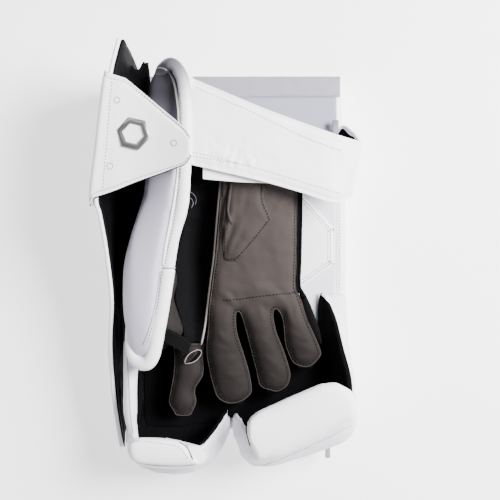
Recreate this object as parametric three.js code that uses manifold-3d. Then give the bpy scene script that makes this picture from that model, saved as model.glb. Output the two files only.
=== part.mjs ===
// An ice hockey goalkeeper's blocking glove, lying on the front face of its board with the palm up.
// Millimetres. +Z is up, out of the palm. +Y runs from the fingertips to the wrist, and the thumb is at -X.
// The origin is the middle of the board's flat front face.
import * as THREE from "three";
import { mergeVertices } from "three/addons/utils/BufferGeometryUtils.js";
import Module from "manifold-3d";

const wasm = await Module();
wasm.setup();

// Driving sizes.
const BOARD = { side: 99.5, bow: 4.5, length: 338, thick: 30, corner: 12, edge: 5 };
const GAP = 0.3;
const LEATHER = 1.8;
const MESH_CLOTH = 1.4;
const STALL_WALL = 2.2;
const HAND_WALL = 3;
const HAND_FLOOR = 33.9;
const PANEL = { side: 95, low: -161, thick: 1.2, top: 150.4 };
const FLOOR_CLOTH = 1.6;
const LATTICE = { x: 8, y: 15 }; // the grid that every cut sheet shares
const SOCKET_END = -47.8; // where the hand's own pocket ends and the finger stalls begin
const BACK = BOARD.thick;

// Finishes.
const finish = (color, roughness, metalness = 0) =>
  new THREE.MeshStandardMaterial({ color, roughness, metalness });
const whiteLeather = finish(0xeeedf0, 0.45);
const greyLeather = finish(0xc4c1c8, 0.5);
const nylon = finish(0xc9c7d4, 0.8);
const palmLeather = finish(0x6f6562, 0.85);
const blackCloth = finish(0x16171b, 0.9);
const blackLeather = finish(0x121315, 0.4);
const elasticBand = finish(0x2a2a2d, 0.85);
const silver = finish(0x9c9a94, 0.3, 0.8);

const glove = new THREE.Group();

function add(name, geometry, material) {
  const mesh = new THREE.Mesh(geometry, material);
  mesh.name = name;
  glove.add(mesh);
}

// A table is a list of rows, each an object with one value per named column.
const table = (columns, ...rows) =>
  rows.map((row) => Object.fromEntries(columns.map((key, i) => [key, row[i]])));

// A row between the rows of a table, at t from 0 to 1, on a smooth curve through every column.
function between(rows, t) {
  const last = rows.length - 1;
  const i = Math.min(Math.floor(t * last), last - 1);
  const f = t * last - i;
  const at = (k) => rows[Math.max(0, Math.min(last, k))];
  const [a, b, c, d] = [at(i - 1), at(i), at(i + 1), at(i + 2)];
  const blend = (key) =>
    b[key] +
    0.5 * f * (c[key] - a[key] + f * (2 * a[key] - 5 * b[key] + 4 * c[key] - d[key] +
      f * (3 * (b[key] - c[key]) + d[key] - a[key])));
  return Object.fromEntries(Object.keys(b).map((key) => [key, blend(key)]));
}

// A column's value where the table's own y column, which falls from row to row, passes y.
function across(rows, y, key) {
  if (y >= rows[0].y) return rows[0][key];
  const i = rows.findIndex((row) => row.y <= y);
  if (i < 0) return rows[rows.length - 1][key];
  const [a, b] = [rows[i - 1], rows[i]];
  return a[key] + ((b[key] - a[key]) * (a.y - y)) / (a.y - b.y);
}

const lerp = (a, b, t) => a + (b - a) * t;
const steps = (count) => Array.from({ length: count + 1 }, (_, i) => i / count);
const point = (x, y, z) => new THREE.Vector3(x, y, z);

function meshOf(points, faces) {
  const made = new THREE.BufferGeometry().setFromPoints(points);
  made.setIndex(faces);
  return made;
}

// Volume of a closed mesh, negative where its faces point inwards.
function signedVolume(points, faces) {
  let sum = 0;
  for (let i = 0; i < faces.length; i += 3) {
    const [a, b, c] = [points[faces[i]], points[faces[i + 1]], points[faces[i + 2]]];
    sum += a.dot(b.clone().cross(c));
  }
  return sum;
}

function facingOut(points, faces) {
  if (signedVolume(points, faces) < 0) faces.reverse();
  return meshOf(points, faces);
}

// A closed solid between two sheets of points with the same rows and columns.
function between2(outer, inner) {
  const rows = outer.length;
  const cols = outer[0].length;
  const points = [...outer.flat(), ...inner.flat()];
  const id = (side, i, j) => side * rows * cols + i * cols + j;
  const faces = [];
  const quad = (a, b, c, d) => faces.push(a, b, c, a, c, d);
  for (let i = 0; i < rows - 1; i++)
    for (let j = 0; j < cols - 1; j++) {
      quad(id(0, i, j), id(0, i, j + 1), id(0, i + 1, j + 1), id(0, i + 1, j));
      quad(id(1, i, j), id(1, i + 1, j), id(1, i + 1, j + 1), id(1, i, j + 1));
    }
  for (let i = 0; i < rows - 1; i++) {
    quad(id(0, i, 0), id(0, i + 1, 0), id(1, i + 1, 0), id(1, i, 0));
    quad(id(0, i + 1, cols - 1), id(0, i, cols - 1), id(1, i, cols - 1), id(1, i + 1, cols - 1));
  }
  for (let j = 0; j < cols - 1; j++) {
    quad(id(0, 0, j + 1), id(0, 0, j), id(1, 0, j), id(1, 0, j + 1));
    quad(id(0, rows - 1, j), id(0, rows - 1, j + 1), id(1, rows - 1, j + 1), id(1, rows - 1, j));
  }
  return facingOut(points, faces);
}

// A sheet of one thickness that follows place(u, v), thickened away from its own normal.
function skin(place, uSteps, vSteps, thick) {
  const outer = steps(uSteps).map((u) => steps(vSteps).map((v) => place(u, v)));
  const inner = outer.map((row, i) =>
    row.map((p, j) => {
      const alongU = (outer[i + 1] ?? row.map(() => null))[j] ?? p;
      const beforeU = (outer[i - 1] ?? [])[j] ?? p;
      const du = alongU.clone().sub(beforeU);
      const dv = (row[j + 1] ?? p).clone().sub(row[j - 1] ?? p);
      return p.clone().addScaledVector(du.cross(dv).normalize(), -thick);
    }),
  );
  return between2(outer, inner);
}

// A closed solid through rings of points, each end closed by a fan to its middle.
function loft(rings) {
  const sides = rings[0].length;
  const points = rings.flat();
  const faces = [];
  for (let i = 0; i < rings.length - 1; i++)
    for (let j = 0; j < sides; j++) {
      const k = (j + 1) % sides;
      const [a, b, c, d] = [i * sides + j, i * sides + k, (i + 1) * sides + k, (i + 1) * sides + j];
      faces.push(a, b, c, a, c, d);
    }
  const cap = (ring, base, turned) => {
    const middle = ring.reduce((sum, p) => sum.add(p), point(0, 0, 0)).divideScalar(sides);
    points.push(middle);
    for (let j = 0; j < sides; j++) {
      const pair = [base + j, base + ((j + 1) % sides)];
      faces.push(...(turned ? pair.reverse() : pair), points.length - 1);
    }
  };
  cap(rings[0], 0, true);
  cap(rings[rings.length - 1], (rings.length - 1) * sides, false);
  return facingOut(points, faces);
}

// A ring round a middle point, in the plane of two directions. power 2 is an ellipse, more is squarer.
function ringAt(middle, wide, high, halfWide, halfHigh, sides, power) {
  return steps(sides).slice(0, -1).map((t) => {
    const [c, s] = [Math.cos(2 * Math.PI * t), Math.sin(2 * Math.PI * t)];
    const bend = (value) => Math.sign(value) * Math.abs(value) ** (2 / power);
    return middle.clone()
      .addScaledVector(wide, halfWide * bend(c))
      .addScaledVector(high, halfHigh * bend(s));
  });
}

// A round bead, piping or roll along a list of points.
function roll(points, radius, count, sides, ends = 0.55) {
  const curve = new THREE.CatmullRomCurve3(points);
  const up = point(0, 0, 1);
  return loft(steps(count).map((t) => {
    const tangent = curve.getTangentAt(t);
    const wide = tangent.clone().cross(up).normalize();
    const high = wide.clone().cross(tangent).normalize();
    const r = radius * (t === 0 || t === 1 ? ends : 1);
    return ringAt(curve.getPointAt(t), wide, high, r, r, sides, 2);
  }));
}

function shapeOf(corners) {
  const outline = new THREE.Shape();
  corners.forEach(([x, y], i) => (i ? outline.lineTo(x, y) : outline.moveTo(x, y)));
  return outline;
}

// An outline as a slab from low to high, its edges rounded by round.
function slab(outline, low, high, round = 0, segments = 2) {
  const made = new THREE.ExtrudeGeometry(outline, {
    depth: high - low - 2 * round,
    bevelEnabled: round > 0,
    bevelThickness: round,
    bevelSize: round,
    bevelOffset: -round,
    bevelSegments: segments,
    curveSegments: 4,
  });
  return made.translate(0, 0, low + round);
}

function rectangle(left, right, low, high, corner) {
  const outline = new THREE.Shape();
  outline.moveTo(left + corner, low);
  outline.lineTo(right - corner, low);
  outline.absarc(right - corner, low + corner, corner, -Math.PI / 2, 0);
  outline.lineTo(right, high - corner);
  outline.absarc(right - corner, high - corner, corner, 0, Math.PI / 2);
  outline.lineTo(left + corner, high);
  outline.absarc(left + corner, high - corner, corner, Math.PI / 2, Math.PI);
  outline.lineTo(left, low + corner);
  outline.absarc(left + corner, low + corner, corner, Math.PI, 1.5 * Math.PI);
  return outline;
}

function solidOf(geometry) {
  const plain = geometry.index ? geometry.toNonIndexed() : geometry.clone();
  plain.deleteAttribute("normal");
  plain.deleteAttribute("uv");
  const merged = mergeVertices(plain, 1e-3);
  return new wasm.Manifold(new wasm.Mesh({
    numProp: 3,
    vertProperties: merged.attributes.position.array,
    triVerts: new Uint32Array(merged.index.array),
  }));
}

function geometryOf(solid) {
  const mesh = solid.getMesh();
  const made = new THREE.BufferGeometry();
  made.setAttribute("position", new THREE.BufferAttribute(mesh.vertProperties, 3));
  made.setIndex(new THREE.BufferAttribute(mesh.triVerts, 1));
  return made;
}

const brick = (low, high) =>
  solidOf(new THREE.BoxGeometry(high[0] - low[0], high[1] - low[1], high[2] - low[2]).translate(
    (low[0] + high[0]) / 2, (low[1] + high[1]) / 2, (low[2] + high[2]) / 2));

// A solid between two height fields, over a rectangle of the shared grid.
function fieldSolid(box, low, high) {
  const along = (from, to, step) => {
    const first = Math.floor(from / step);
    return Array.from({ length: Math.ceil(to / step) - first + 1 }, (_, i) => (first + i) * step);
  };
  const xs = along(box.left, box.right, LATTICE.x);
  const ys = along(box.bottom, box.top, LATTICE.y);
  const sheet = (height) => ys.map((y) => xs.map((x) => point(x, y, height(x, y))));
  return solidOf(between2(sheet(high), sheet(low)));
}

// A sheet of leather or cloth cut to an outline and laid over a height field.
function cutSheet(corners, height, thick) {
  const xs = corners.map((c) => c[0]);
  const ys = corners.map((c) => c[1]);
  const box = {
    left: Math.min(...xs) - 1,
    right: Math.max(...xs) + 1,
    bottom: Math.min(...ys) - 1,
    top: Math.max(...ys) + 1,
  };
  const field = fieldSolid(box, height, (x, y) => height(x, y) + thick);
  return geometryOf(field.intersect(solidOf(slab(shapeOf(corners), 0, 160))));
}

// The palm: how high the underside of its leather lies.
const edgeHeight = table(["y", "z"], [90, 80], [40, 78], [0, 76], [-48, 71], [-90, 66], [-140, 60]);
const handLobe = table(["y", "x", "wide", "crown"],
  [90, 22, 76, 5], [40, 20, 76, 7], [0, 18, 78, 7], [-40, 16, 84, 5], [-58, 16, 88, 0]);
const fingers = {
  middle: table(["y", "x", "wide", "crown"],
    [-38, -13, 26, 0], [-56, -13, 27, 5], [-72, -13, 27, 6], [-88, -11.5, 34, 7], [-104, -8, 36, 7],
    [-122, -4.5, 35, 5], [-133, -3.5, 28, 3], [-140, -3, 18, 0]),
  ring: table(["y", "x", "wide", "crown"],
    [-38, 18, 28, 0], [-57, 19, 29, 5], [-72, 22.5, 28, 6], [-90, 28.5, 31, 7], [-106, 33, 32, 7],
    [-120, 34.5, 27, 4], [-129, 35, 17, 0]),
  pinky: table(["y", "x", "wide", "crown"],
    [-38, 47, 24, 0], [-58, 53, 22, 5], [-74, 57.4, 28, 6], [-88, 61.4, 31, 6], [-98, 62.5, 26, 4],
    [-106, 63, 16, 0]),
};
const domed = (rows, x, y) => {
  const off = (x - across(rows, y, "x")) / (across(rows, y, "wide") / 2);
  return across(rows, y, "crown") * Math.max(0, 1 - off * off);
};
const palmUnder = (x, y) =>
  across(edgeHeight, y, "z") +
  Math.max(domed(handLobe, x, y), ...Object.values(fingers).map((rows) => domed(rows, x, y)));

// The index finger and the thumb lie lower than the palm, beside it.
const indexRows = table(["y", "x", "wide", "crown"],
  [-48, -38.5, 25, 3], [-72, -39.5, 25, 4], [-88, -45.2, 28, 5], [-97, -45, 27, 5], [-112, -45.5, 28, 5],
  [-126, -50.5, 23, 5], [-138, -51, 26, 4], [-147, -50.5, 18, 1], [-151, -50.5, 12, 0]);
const indexEdge = table(["y", "z"], [-48, 64], [-97, 60], [-151, 55]);
const indexUnder = (x, y) => across(indexEdge, y, "z") + domed(indexRows, x, y);
const thumbRows = table(["y", "x", "wide", "crown"],
  [34, -73, 16, 2], [0, -74, 26, 4], [-22, -72, 34, 5], [-40, -74, 32, 6], [-56, -71.5, 36, 7],
  [-71, -69, 38, 7], [-80, -72.5, 31, 6], [-89, -77, 18, 3], [-94, -79, 10, 0]);
const thumbEdge = table(["y", "z"], [34, 72], [-22, 70], [-70, 69], [-94, 66]);
const thumbUnder = (x, y) => across(thumbEdge, y, "z") + domed(thumbRows, x, y);

// The stretch mesh between the palm and the thumb sags into a valley.
const valley = table(["y", "right", "left", "leftZ", "depth"],
  [90, -9, -58, 88, 16], [49, -12.4, -60, 84, 18], [30, -14, -64.4, 78, 19], [0, -17, -60.4, 73, 18],
  [-22, -19.6, -54.4, 71, 14], [-40, -22, -57.4, 71, 11], [-56, -24.6, -52.9, 70, 9],
  [-71, -27, -49.4, 69, 6], [-82, -29.5, -49, 67, 3]);
function meshUnder(x, y) {
  const [right, left] = [across(valley, y, "right"), across(valley, y, "left")];
  const t = Math.max(0, Math.min(1, (right - x) / (right - left)));
  const straight = lerp(across(edgeHeight, y, "z") - 2, across(valley, y, "leftZ"), t);
  return straight - across(valley, y, "depth") * Math.sin(Math.PI * t ** 0.8);
}

// Sides of a board that bow out between its ends.
function bowedOutline(side, end, bow, corner) {
  const outline = new THREE.Shape();
  const [flat, low] = [side - corner, end - corner];
  outline.moveTo(-flat, -end);
  outline.lineTo(flat, -end);
  outline.quadraticCurveTo(side, -end, side, -low);
  outline.quadraticCurveTo(side + 2 * bow, 0, side, low);
  outline.quadraticCurveTo(side, end, flat, end);
  outline.lineTo(-flat, end);
  outline.quadraticCurveTo(-side, end, -side, low);
  outline.quadraticCurveTo(-side - 2 * bow, 0, -side, -low);
  outline.quadraticCurveTo(-side, -end, -flat, -end);
  return outline;
}

function board() {
  const outline = bowedOutline(BOARD.side, BOARD.length / 2, BOARD.bow, BOARD.corner);
  add("board", slab(outline, 0, BOARD.thick, BOARD.edge), whiteLeather);
  const low = BACK + GAP;
  const panel = rectangle(-PANEL.side, PANEL.side, PANEL.low, PANEL.top, 4);
  add("back_panel", slab(panel, low, low + PANEL.thick), nylon);
}

// A grey binding folds over the wrist end of the board.
function topBinding() {
  const [reach, skinThick, lip] = [18.5, 1.7, 5];
  const l = BOARD.length / 2;
  const profile = shapeOf([
    [l - reach, BACK + GAP], [l + GAP, BACK + GAP], [l + GAP, lip], [l + GAP + skinThick, lip],
    [l + GAP + skinThick, BACK + GAP], [l, BACK + GAP + skinThick + 0.3], [l - reach, BACK + GAP + skinThick],
  ]);
  const [left, right] = [1 - BOARD.side, BOARD.side - 1];
  const made = new THREE.ExtrudeGeometry(profile, { depth: right - left, bevelEnabled: false });
  made.applyMatrix4(new THREE.Matrix4().set(0, 0, 1, left, 1, 0, 0, 0, 0, 1, 0, 0, 0, 0, 0, 1));
  add("top_binding", made, greyLeather);
}

function backPatch() {
  const low = BACK + GAP + PANEL.thick + GAP;
  const corners = [[91.5, 25], [91.5, -10], [40, -46], [10, -46], [10, 81], [40, 81]];
  add("back_patch", slab(shapeOf(corners), low, low + 1.5, 0.4, 1), whiteLeather);
}

// A pocket or a stall: a tube along y, hollow, open at its wrist end and trimmed under its leather.
function tube(rows, low, high, grow, count) {
  return solidOf(loft(steps(count).map((t) => {
    const row = between(rows, t);
    const half = Math.max(0.6, row.wide / 2 + grow);
    const middle = point(row.x, row.y, (low + high) / 2);
    return ringAt(middle, point(1, 0, 0), point(0, 0, 1), half, (high - low) / 2 + grow, 10, 4);
  })));
}

// Cuts away what stands above the underside of the sheets that cover a piece.
function trimmed(solid, ...covers) {
  return covers.reduce(
    (left, { over, box }) => left.subtract(fieldSolid(box, (x, y) => over(x, y) - GAP, () => 200)), solid);
}
const webUnder = (x, y) => meshUnder(x, y) - MESH_CLOTH - 0.5;
const underWeb = (top, bottom) => ({ over: webUnder, box: { left: -66, right: -4, bottom, top } });

// The hand's pocket, black cloth, with the palm side left open for the leather.
function backhand() {
  const hand = table(["y", "x", "wide"],
    [90, -2, 112], [40, -2, 112], [0, -1.5, 109], [-30, 0.5, 103], [SOCKET_END, 4, 101]);
  const thenar = table(["y", "x", "wide"],
    [62, -50, 22], [40, -54, 28], [10, -62, 38], [-10, -69, 40], [-21.8, -71, 37]);
  const longer = (rows) => [{ ...rows[0], y: rows[0].y + 20 }, ...rows,
    { ...rows[rows.length - 1], y: rows[rows.length - 1].y - 20 }];
  const outer = tube(hand, HAND_FLOOR, 100, 0, 6).add(tube(thenar, HAND_FLOOR, 100, 0, 6));
  const inner = tube(longer(hand), HAND_FLOOR, 100, -HAND_WALL, 8)
    .add(tube(thenar, HAND_FLOOR, 100, -HAND_WALL, 6))
    .add(tube(longer(thenar).slice(-3), HAND_FLOOR, 100, -HAND_WALL, 2));
  const shell = trimmed(outer.subtract(inner), underWeb(95, -60),
    { over: palmUnder, box: { left: -32, right: 70, bottom: -60, top: 100 } },
    { over: thumbUnder, box: { left: -100, right: -50, bottom: -30, top: 100 } });
  add("backhand", geometryOf(shell), blackCloth);
}

// A finger stall: its black back and sides. The leather that closes it is a piece of its own.
function stall(name, rows, start, low, under, ...covers) {
  const kept = rows.filter((row) => row.y < start);
  const first = { ...kept[0], y: start, x: across(rows, start, "x"), wide: across(rows, start, "wide") };
  const body = [first, ...kept].map((row) => ({ y: row.y, x: row.x, wide: row.wide - 3.5 }));
  const cavity = [{ ...body[0], y: start + 10 }, ...body.slice(0, -1)];
  const outer = tube(body, low, 90, 0, 6);
  const inner = tube(cavity, low, 90, -STALL_WALL, 6);
  const xs = rows.map((row) => row.x);
  const [beside, beyond] = [24, 8];
  const box = {
    left: Math.min(...xs) - beside,
    right: Math.max(...xs) + beside,
    bottom: rows[rows.length - 1].y - beyond,
    top: start + beyond,
  };
  add(name, geometryOf(trimmed(outer.subtract(inner), { over: under, box }, ...covers)), blackCloth);
}

function palm() {
  const outline = [
    [-10.5, 88], [-15.4, 49.5], [-17.2, 27.6], [-19.1, 4.8], [-22.7, -24.5], [-25.8, -48.3], [-26.6, -66],
    [-28.5, -88], [-26.6, -104], [-22.5, -122], [-18.4, -133], [-9.2, -138.7], [1.9, -137.8], [11.5, -131.5],
    [13.8, -124.5], [11.1, -108.4], [6.5, -92.4], [0.2, -71.6], [-0.6, -56], [1.4, -53], [3.9, -57],
    [8.3, -71.6], [12.9, -90], [17.1, -106.2], [21.2, -122.2], [31.3, -126.5], [37.8, -127.8],
    [46.5, -122.2], [49.6, -113], [47.5, -101.6], [42, -85.4], [36.5, -71.6], [33.6, -56], [36, -50.4],
    [41, -57.8], [42.8, -67], [43.9, -80.8], [46.5, -90], [51.6, -100.1], [60, -104.4], [68.5, -103.6],
    [77.2, -94.6], [77.1, -87.9], [71.4, -74.1], [64.4, -57.8], [59.8, -44], [57, -36], [54.6, -28.4],
    [55.2, 3.8], [55.7, 55.3], [56, 88],
  ];
  add("palm", cutSheet(outline, palmUnder, LEATHER), palmLeather);
  const overPalm = (x, y) => palmUnder(x, y) + LEATHER + GAP;
  const heel = [
    [-7, 87], [-11, 50], [-13, 27], [-12.5, -6.2], [1.1, -6.2], [32, 31], [23.8, 51], [25.6, 65.6], [26, 87],
  ];
  add("heel_patch", cutSheet(heel, overPalm, 1.4), palmLeather);
  const ridge = [[-3.2, 86], [-4.3, 69], [-7, 49], [-7.6, 38], [-4.5, 27]];
  const onHeel = ([x, y]) => point(x, y, overPalm(x, y) + 1.4 + GAP + 1.9);
  add("heel_welt", roll(ridge.map(onHeel), 1.5, 8, 6), palmLeather);
  const side = [[58.3, 87], [58.3, 40], [57.7, 0], [57, -28], [60, -36]];
  const atSide = ([x, y]) => point(x, y, across(edgeHeight, y, "z") + 0.6);
  add("palm_piping", roll(side.map(atSide), 1.9, 10, 8), blackLeather);
}

// The light cut edge along the thumb side of the palm.
function palmEdge() {
  const rows = table(["y", "x"],
    [84, -12.7], [60, -15.7], [30, -18.6], [0, -21.1], [-24, -24.3], [-48, -27.4], [-66, -29.5], [-84, -33]);
  const line = rows.map(({ x, y }) => point(x, y, across(edgeHeight, y, "z") + 1.2));
  add("palm_edge", roll(line, 1.3, 10, 6), palmLeather);
}

function thumbAndIndex() {
  const fromRows = (rows, top) => {
    const kept = [{ y: top, x: across(rows, top, "x"), wide: across(rows, top, "wide") },
      ...rows.filter((row) => row.y < top)];
    const side = (sign) => kept.map((row) => [row.x + (sign * row.wide) / 2, row.y]);
    return [...side(-1), ...side(1).reverse()];
  };
  add("index_palm", cutSheet(fromRows(indexRows, -83), indexUnder, LEATHER), palmLeather);
  add("thumb_palm", cutSheet(fromRows(thumbRows, 30), thumbUnder, LEATHER), palmLeather);
  const web = [
    ...valley.map((row) => [row.right + (row.y > -50 ? 3 : 0), Math.min(row.y, 86)]),
    ...valley.slice().reverse().map((row) => [row.left, Math.min(row.y, 86)]),
  ];
  add("thumb_web", cutSheet(web, webUnder, MESH_CLOTH), blackCloth);
}

// An elastic band holds the thumb stall down, and ends in a folded leather loop at the palm's edge.
function thumbBand() {
  const path = table(["x", "y", "z", "half"],
    [-91.9, -65, 58, 6.5], [-91.9, -66, 70.5, 6.5], [-86.5, -68, 78.6, 6.5], [-71, -71.5, 82, 6.5],
    [-60, -76.5, 81, 6.5], [-50, -82, 78.5, 6.5], [-43.5, -87, 75, 6]);
  const across2 = point(0.34, 0.94, 0);
  const place = (u, v) => {
    const row = between(path, u);
    return point(row.x, row.y, row.z).addScaledVector(across2, lerp(-row.half, row.half, v));
  };
  add("thumb_elastic", skin(place, 10, 1, -1.4), elasticBand);
  const outer = [
    [-49, -101], [-42, -97], [-36.5, -91.5], [-35.8, -88.6], [-39, -88.3], [-45, -91.5], [-49.8, -97],
  ];
  const inner = [[-47, -98], [-43, -94.4], [-39.5, -91.2], [-41, -93.8], [-44.4, -96.6]];
  const outline = shapeOf(outer);
  outline.holes.push(new THREE.Path(inner.map(([x, y]) => new THREE.Vector2(x, y))));
  add("elastic_loop", slab(outline, 67.8, 72.6), palmLeather);
}

// The long padded thumb protector, tilted so that its wrist end stands on its left edge.
const padRows = table(["y", "rightX", "rightZ", "leftX", "leftZ", "thick"],
  [171, -50, 123, -70, 107, 9], [164, -45, 126, -75, 102, 12], [150, -41, 128, -78, 98, 15],
  [128, -39, 128.5, -79, 95, 16], [104, -38.7, 128, -79.5, 93, 16], [77, -40, 126, -81, 91, 16],
  [54, -41, 123, -84, 91, 16], [38, -43, 120.5, -89, 92, 16], [16, -49.5, 116, -96.5, 92.5, 16],
  [-10, -54, 111, -102.5, 93, 16], [-42, -59, 107, -103, 93, 16], [-64, -63, 105, -101, 93, 15],
  [-84, -66.5, 103, -97, 93, 14], [-97, -71, 101, -91, 94, 12], [-104, -77, 99, -85, 95, 9]);
const ROLL = 5.4;
function padFrame(row) {
  const right = point(row.rightX, row.y, row.rightZ);
  const wide = right.clone().sub(point(row.leftX, row.y, row.leftZ));
  const half = wide.length() / 2;
  wide.normalize();
  const high = wide.clone().cross(point(0, 1, 0)).normalize();
  return { right, wide, high, half };
}

function thumbPad() {
  const inset = 2 * ROLL + GAP;
  const [first, last] = [1, padRows.length - 3];
  const face = steps(13).map((t) => {
    const row = between(padRows, lerp(first, last, t) / (padRows.length - 1));
    const { right, wide, high, half } = padFrame(row);
    const open = Math.sqrt(Math.max(0.12, 1 - Math.abs(2 * t - 1) ** 6));
    const halfFace = (half - inset / 2) * open;
    const middle = right.clone().addScaledVector(wide, -inset - (half - inset / 2));
    return ringAt(middle, wide, high, halfFace, (row.thick / 2) * open, 12, 2.6);
  });
  const edge = (row, side) => {
    const { right, wide, half } = padFrame(row);
    return right.clone().addScaledVector(wide, side > 0 ? -ROLL : ROLL - 2 * half);
  };
  const ends = padRows.length - 1;
  const path = [edge(padRows[2], -1), edge(padRows[1], -1),
    ...padRows.slice(0, -1).map((row) => edge(row, 1)),
    edge(padRows[ends], 1), edge(padRows[ends - 1], -1), edge(padRows[ends - 2], -1)];
  const room = solidOf(roll(path, ROLL + GAP + 0.2, 30, 7, 1));
  const padding = geometryOf(solidOf(loft(face)).subtract(room));
  const rim = roll(path, ROLL, 30, 7);
  add("thumb_pad", padding, whiteLeather);
  add("thumb_pad_roll", rim, whiteLeather);
  return [padding, rim];
}

// Black lining under the thumb protector. It stands out past the white roll beside the mesh.
function padUnder(row, v, drop) {
  const { right, wide, high, half } = padFrame(row);
  const proud = 8 * Math.exp(-(((row.y - 18) / 32) ** 4));
  const clear = row.thick / 2 + drop;
  return right.clone().addScaledVector(wide, lerp(3 - 2 * half, proud - 10, v)).addScaledVector(high, -clear);
}

function padLining(pad) {
  const place = (u, v) => padUnder(between(padRows, lerp(0.09, 0.95, u)), v, 1);
  const lining = skin(place, 14, 3, 2);
  add("thumb_pad_lining", lining, blackCloth);
  const wallRows = table(["y", "lean", "footX", "topX", "topZ"],
    [148, 25, -84, -82.5, 90], [136, 14, -85, -82, 90], [104, 0, -88, -81, 92], [54, 0, -93, -86, 92],
    [16, 0, -96.5, -97, 92], [-10, 0, -97, -101, 92], [-42, 0, -97, -101, 92], [-64, 0, -96.5, -99.5, 92]);
  const wall = (u, v) => {
    const row = between(wallRows, u);
    return point(lerp(row.footX, row.topX, v), row.y + row.lean * v, lerp(BACK + 2, row.topZ, v));
  };
  // The wall stops a gap below the pad that it holds up.
  const held = [...pad, lining].flatMap((piece) => [piece, piece.clone().translate(0, 0, -GAP - 0.05)]);
  const standing = held.reduce((left, piece) => left.subtract(solidOf(piece)), solidOf(skin(wall, 9, 1, 4)));
  add("thumb_pad_mount", geometryOf(standing), blackCloth);
}

// The wing stands on the thumb side of the board and leans out.
const wingRows = table(["footY", "footZ", "rimX", "rimY", "rimZ"],
  [166, 12, -103, 187, 128], [158, 6, -106, 176, 128.5], [145, 5, -110.5, 157, 128],
  [118, 5, -115, 126, 126.5],
  [88, 5, -119, 93, 124], [50, 5, -124.3, 51, 120], [32, 5, -121.5, 34, 115], [4, 5, -117.5, 4.7, 106],
  [-38, 5, -114.5, -41, 90], [-78, 5, -117.5, -84, 77], [-122, 5, -115.5, -140, 61],
  [-160, 6, -110.5, -182, 48]);
const WING = { foot: BOARD.side + BOARD.bow + 0.5, shell: 3.2, lining: 1.6, cushion: 15 };
function wingAt(u, v, inset) {
  const row = between(wingRows, u);
  const low = WING.foot + WING.shell;
  const bow = 3 * Math.sin(Math.PI * v);
  const x = lerp(-low, row.rimX, v) - bow + inset;
  return point(x, lerp(row.footY, row.rimY, v), lerp(row.footZ, row.rimZ, v));
}

function wing() {
  add("side_wing", skin((u, v) => wingAt(u, v, 0), 16, 3, WING.shell), whiteLeather);
  const [low, high, columns, rows] = [0.3, 0.985, 16, 3];
  const inset = WING.shell + 0.6;
  // The lining is a cushion at the wrist end, and thins out down the wing.
  const thick = (u, v) =>
    WING.lining + WING.cushion * Math.exp(-(((u - 0.1) / 0.14) ** 2)) * (1 - v ** 3) ** 0.7;
  const sheet = (depth) => steps(columns).map((u) => steps(rows).map((v) =>
    wingAt(u, lerp(low, high, v), inset + depth(u, v))));
  add("wing_lining", between2(sheet(() => 0), sheet(thick)), blackLeather);
}

// The closing tab folds over the wing's rim and lies across to the thumb protector.
const tabRows = table(["x", "low", "high"],
  [-95, 60, 152], [-80, 65.5, 139.5], [-65, 70.5, 126.5], [-52, 75, 115.3], [-44, 78, 108], [-39.5, 84, 101]);
function tabPlace(u, v) {
  const [drop, fold, thick, outDrop] = [0.16, 0.3, 2.6, 30];
  const rimAt = (y) => {
    const u2 = steps(60).reduce((best, t) =>
      Math.abs(between(wingRows, t).rimY - y) < Math.abs(between(wingRows, best).rimY - y) ? t : best, 0);
    return between(wingRows, u2);
  };
  if (u > fold) {
    const t = (u - fold) / (1 - fold);
    const row = between(tabRows, t);
    const y = lerp(row.low, row.high, v);
    const rim = rimAt(y);
    const s = (row.x - rim.rimX) / (-40 - rim.rimX);
    const sag = 5 * Math.sin(Math.PI * Math.min(1, s));
    return point(row.x, y, lerp(rim.rimZ + thick + 1.5, 138.5, s) - sag);
  }
  const s = u < drop ? 0 : (u - drop) / (fold - drop);
  const y = lerp(lerp(43, 60, s * s), lerp(159.5, 152, s * s), v);
  const rim = rimAt(y);
  if (u < drop) {
    const t = u / drop;
    return point(rim.rimX - thick - 1 - 1.5 * (1 - t), y, rim.rimZ - lerp(outDrop, 3, t));
  }
  const turn = Math.PI * (1 - Math.min(1, s * 1.6) / 2);
  const round = point(rim.rimX + Math.cos(turn) * 4.2, y, rim.rimZ + Math.sin(turn) * 4.4 - 0.5);
  const flat = Math.max(0, (s - 0.625) / 0.375);
  const next = between(tabRows, 0).x;
  const t = (next - rim.rimX) / (-40 - rim.rimX);
  return round.lerp(point(next, y, lerp(rim.rimZ + 4.1, 138.5, t) - 5 * Math.sin(Math.PI * t)), flat);
}

function closingTab() {
  add("closing_tab", skin(tabPlace, 16, 3, 2.4), whiteLeather);
  const ringShape = new THREE.Shape();
  const hexagon = (radius, shape) => steps(6).slice(0, -1).forEach((t, i) => {
    const [x, y] = [radius * Math.cos(2 * Math.PI * t), radius * Math.sin(2 * Math.PI * t)];
    return i ? shape.lineTo(x, y) : shape.moveTo(x, y);
  });
  hexagon(15, ringShape);
  const hole = new THREE.Path();
  hexagon(9.5, hole);
  ringShape.holes.push(hole);
  const badge = slab(ringShape, 0, 1.4, 0.4, 1);
  const [u, v, near] = [0.37, 0.5, 0.02];
  const middle = tabPlace(u, v);
  const alongU = tabPlace(u + near, v).sub(middle).normalize();
  const up = alongU.clone().cross(tabPlace(u, v + near).sub(middle)).normalize();
  const basis = new THREE.Matrix4().makeBasis(alongU, up.clone().cross(alongU), up);
  badge.applyMatrix4(basis.setPosition(middle.addScaledVector(up, 1.2)));
  add("tab_badge", badge, silver);
}

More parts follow.
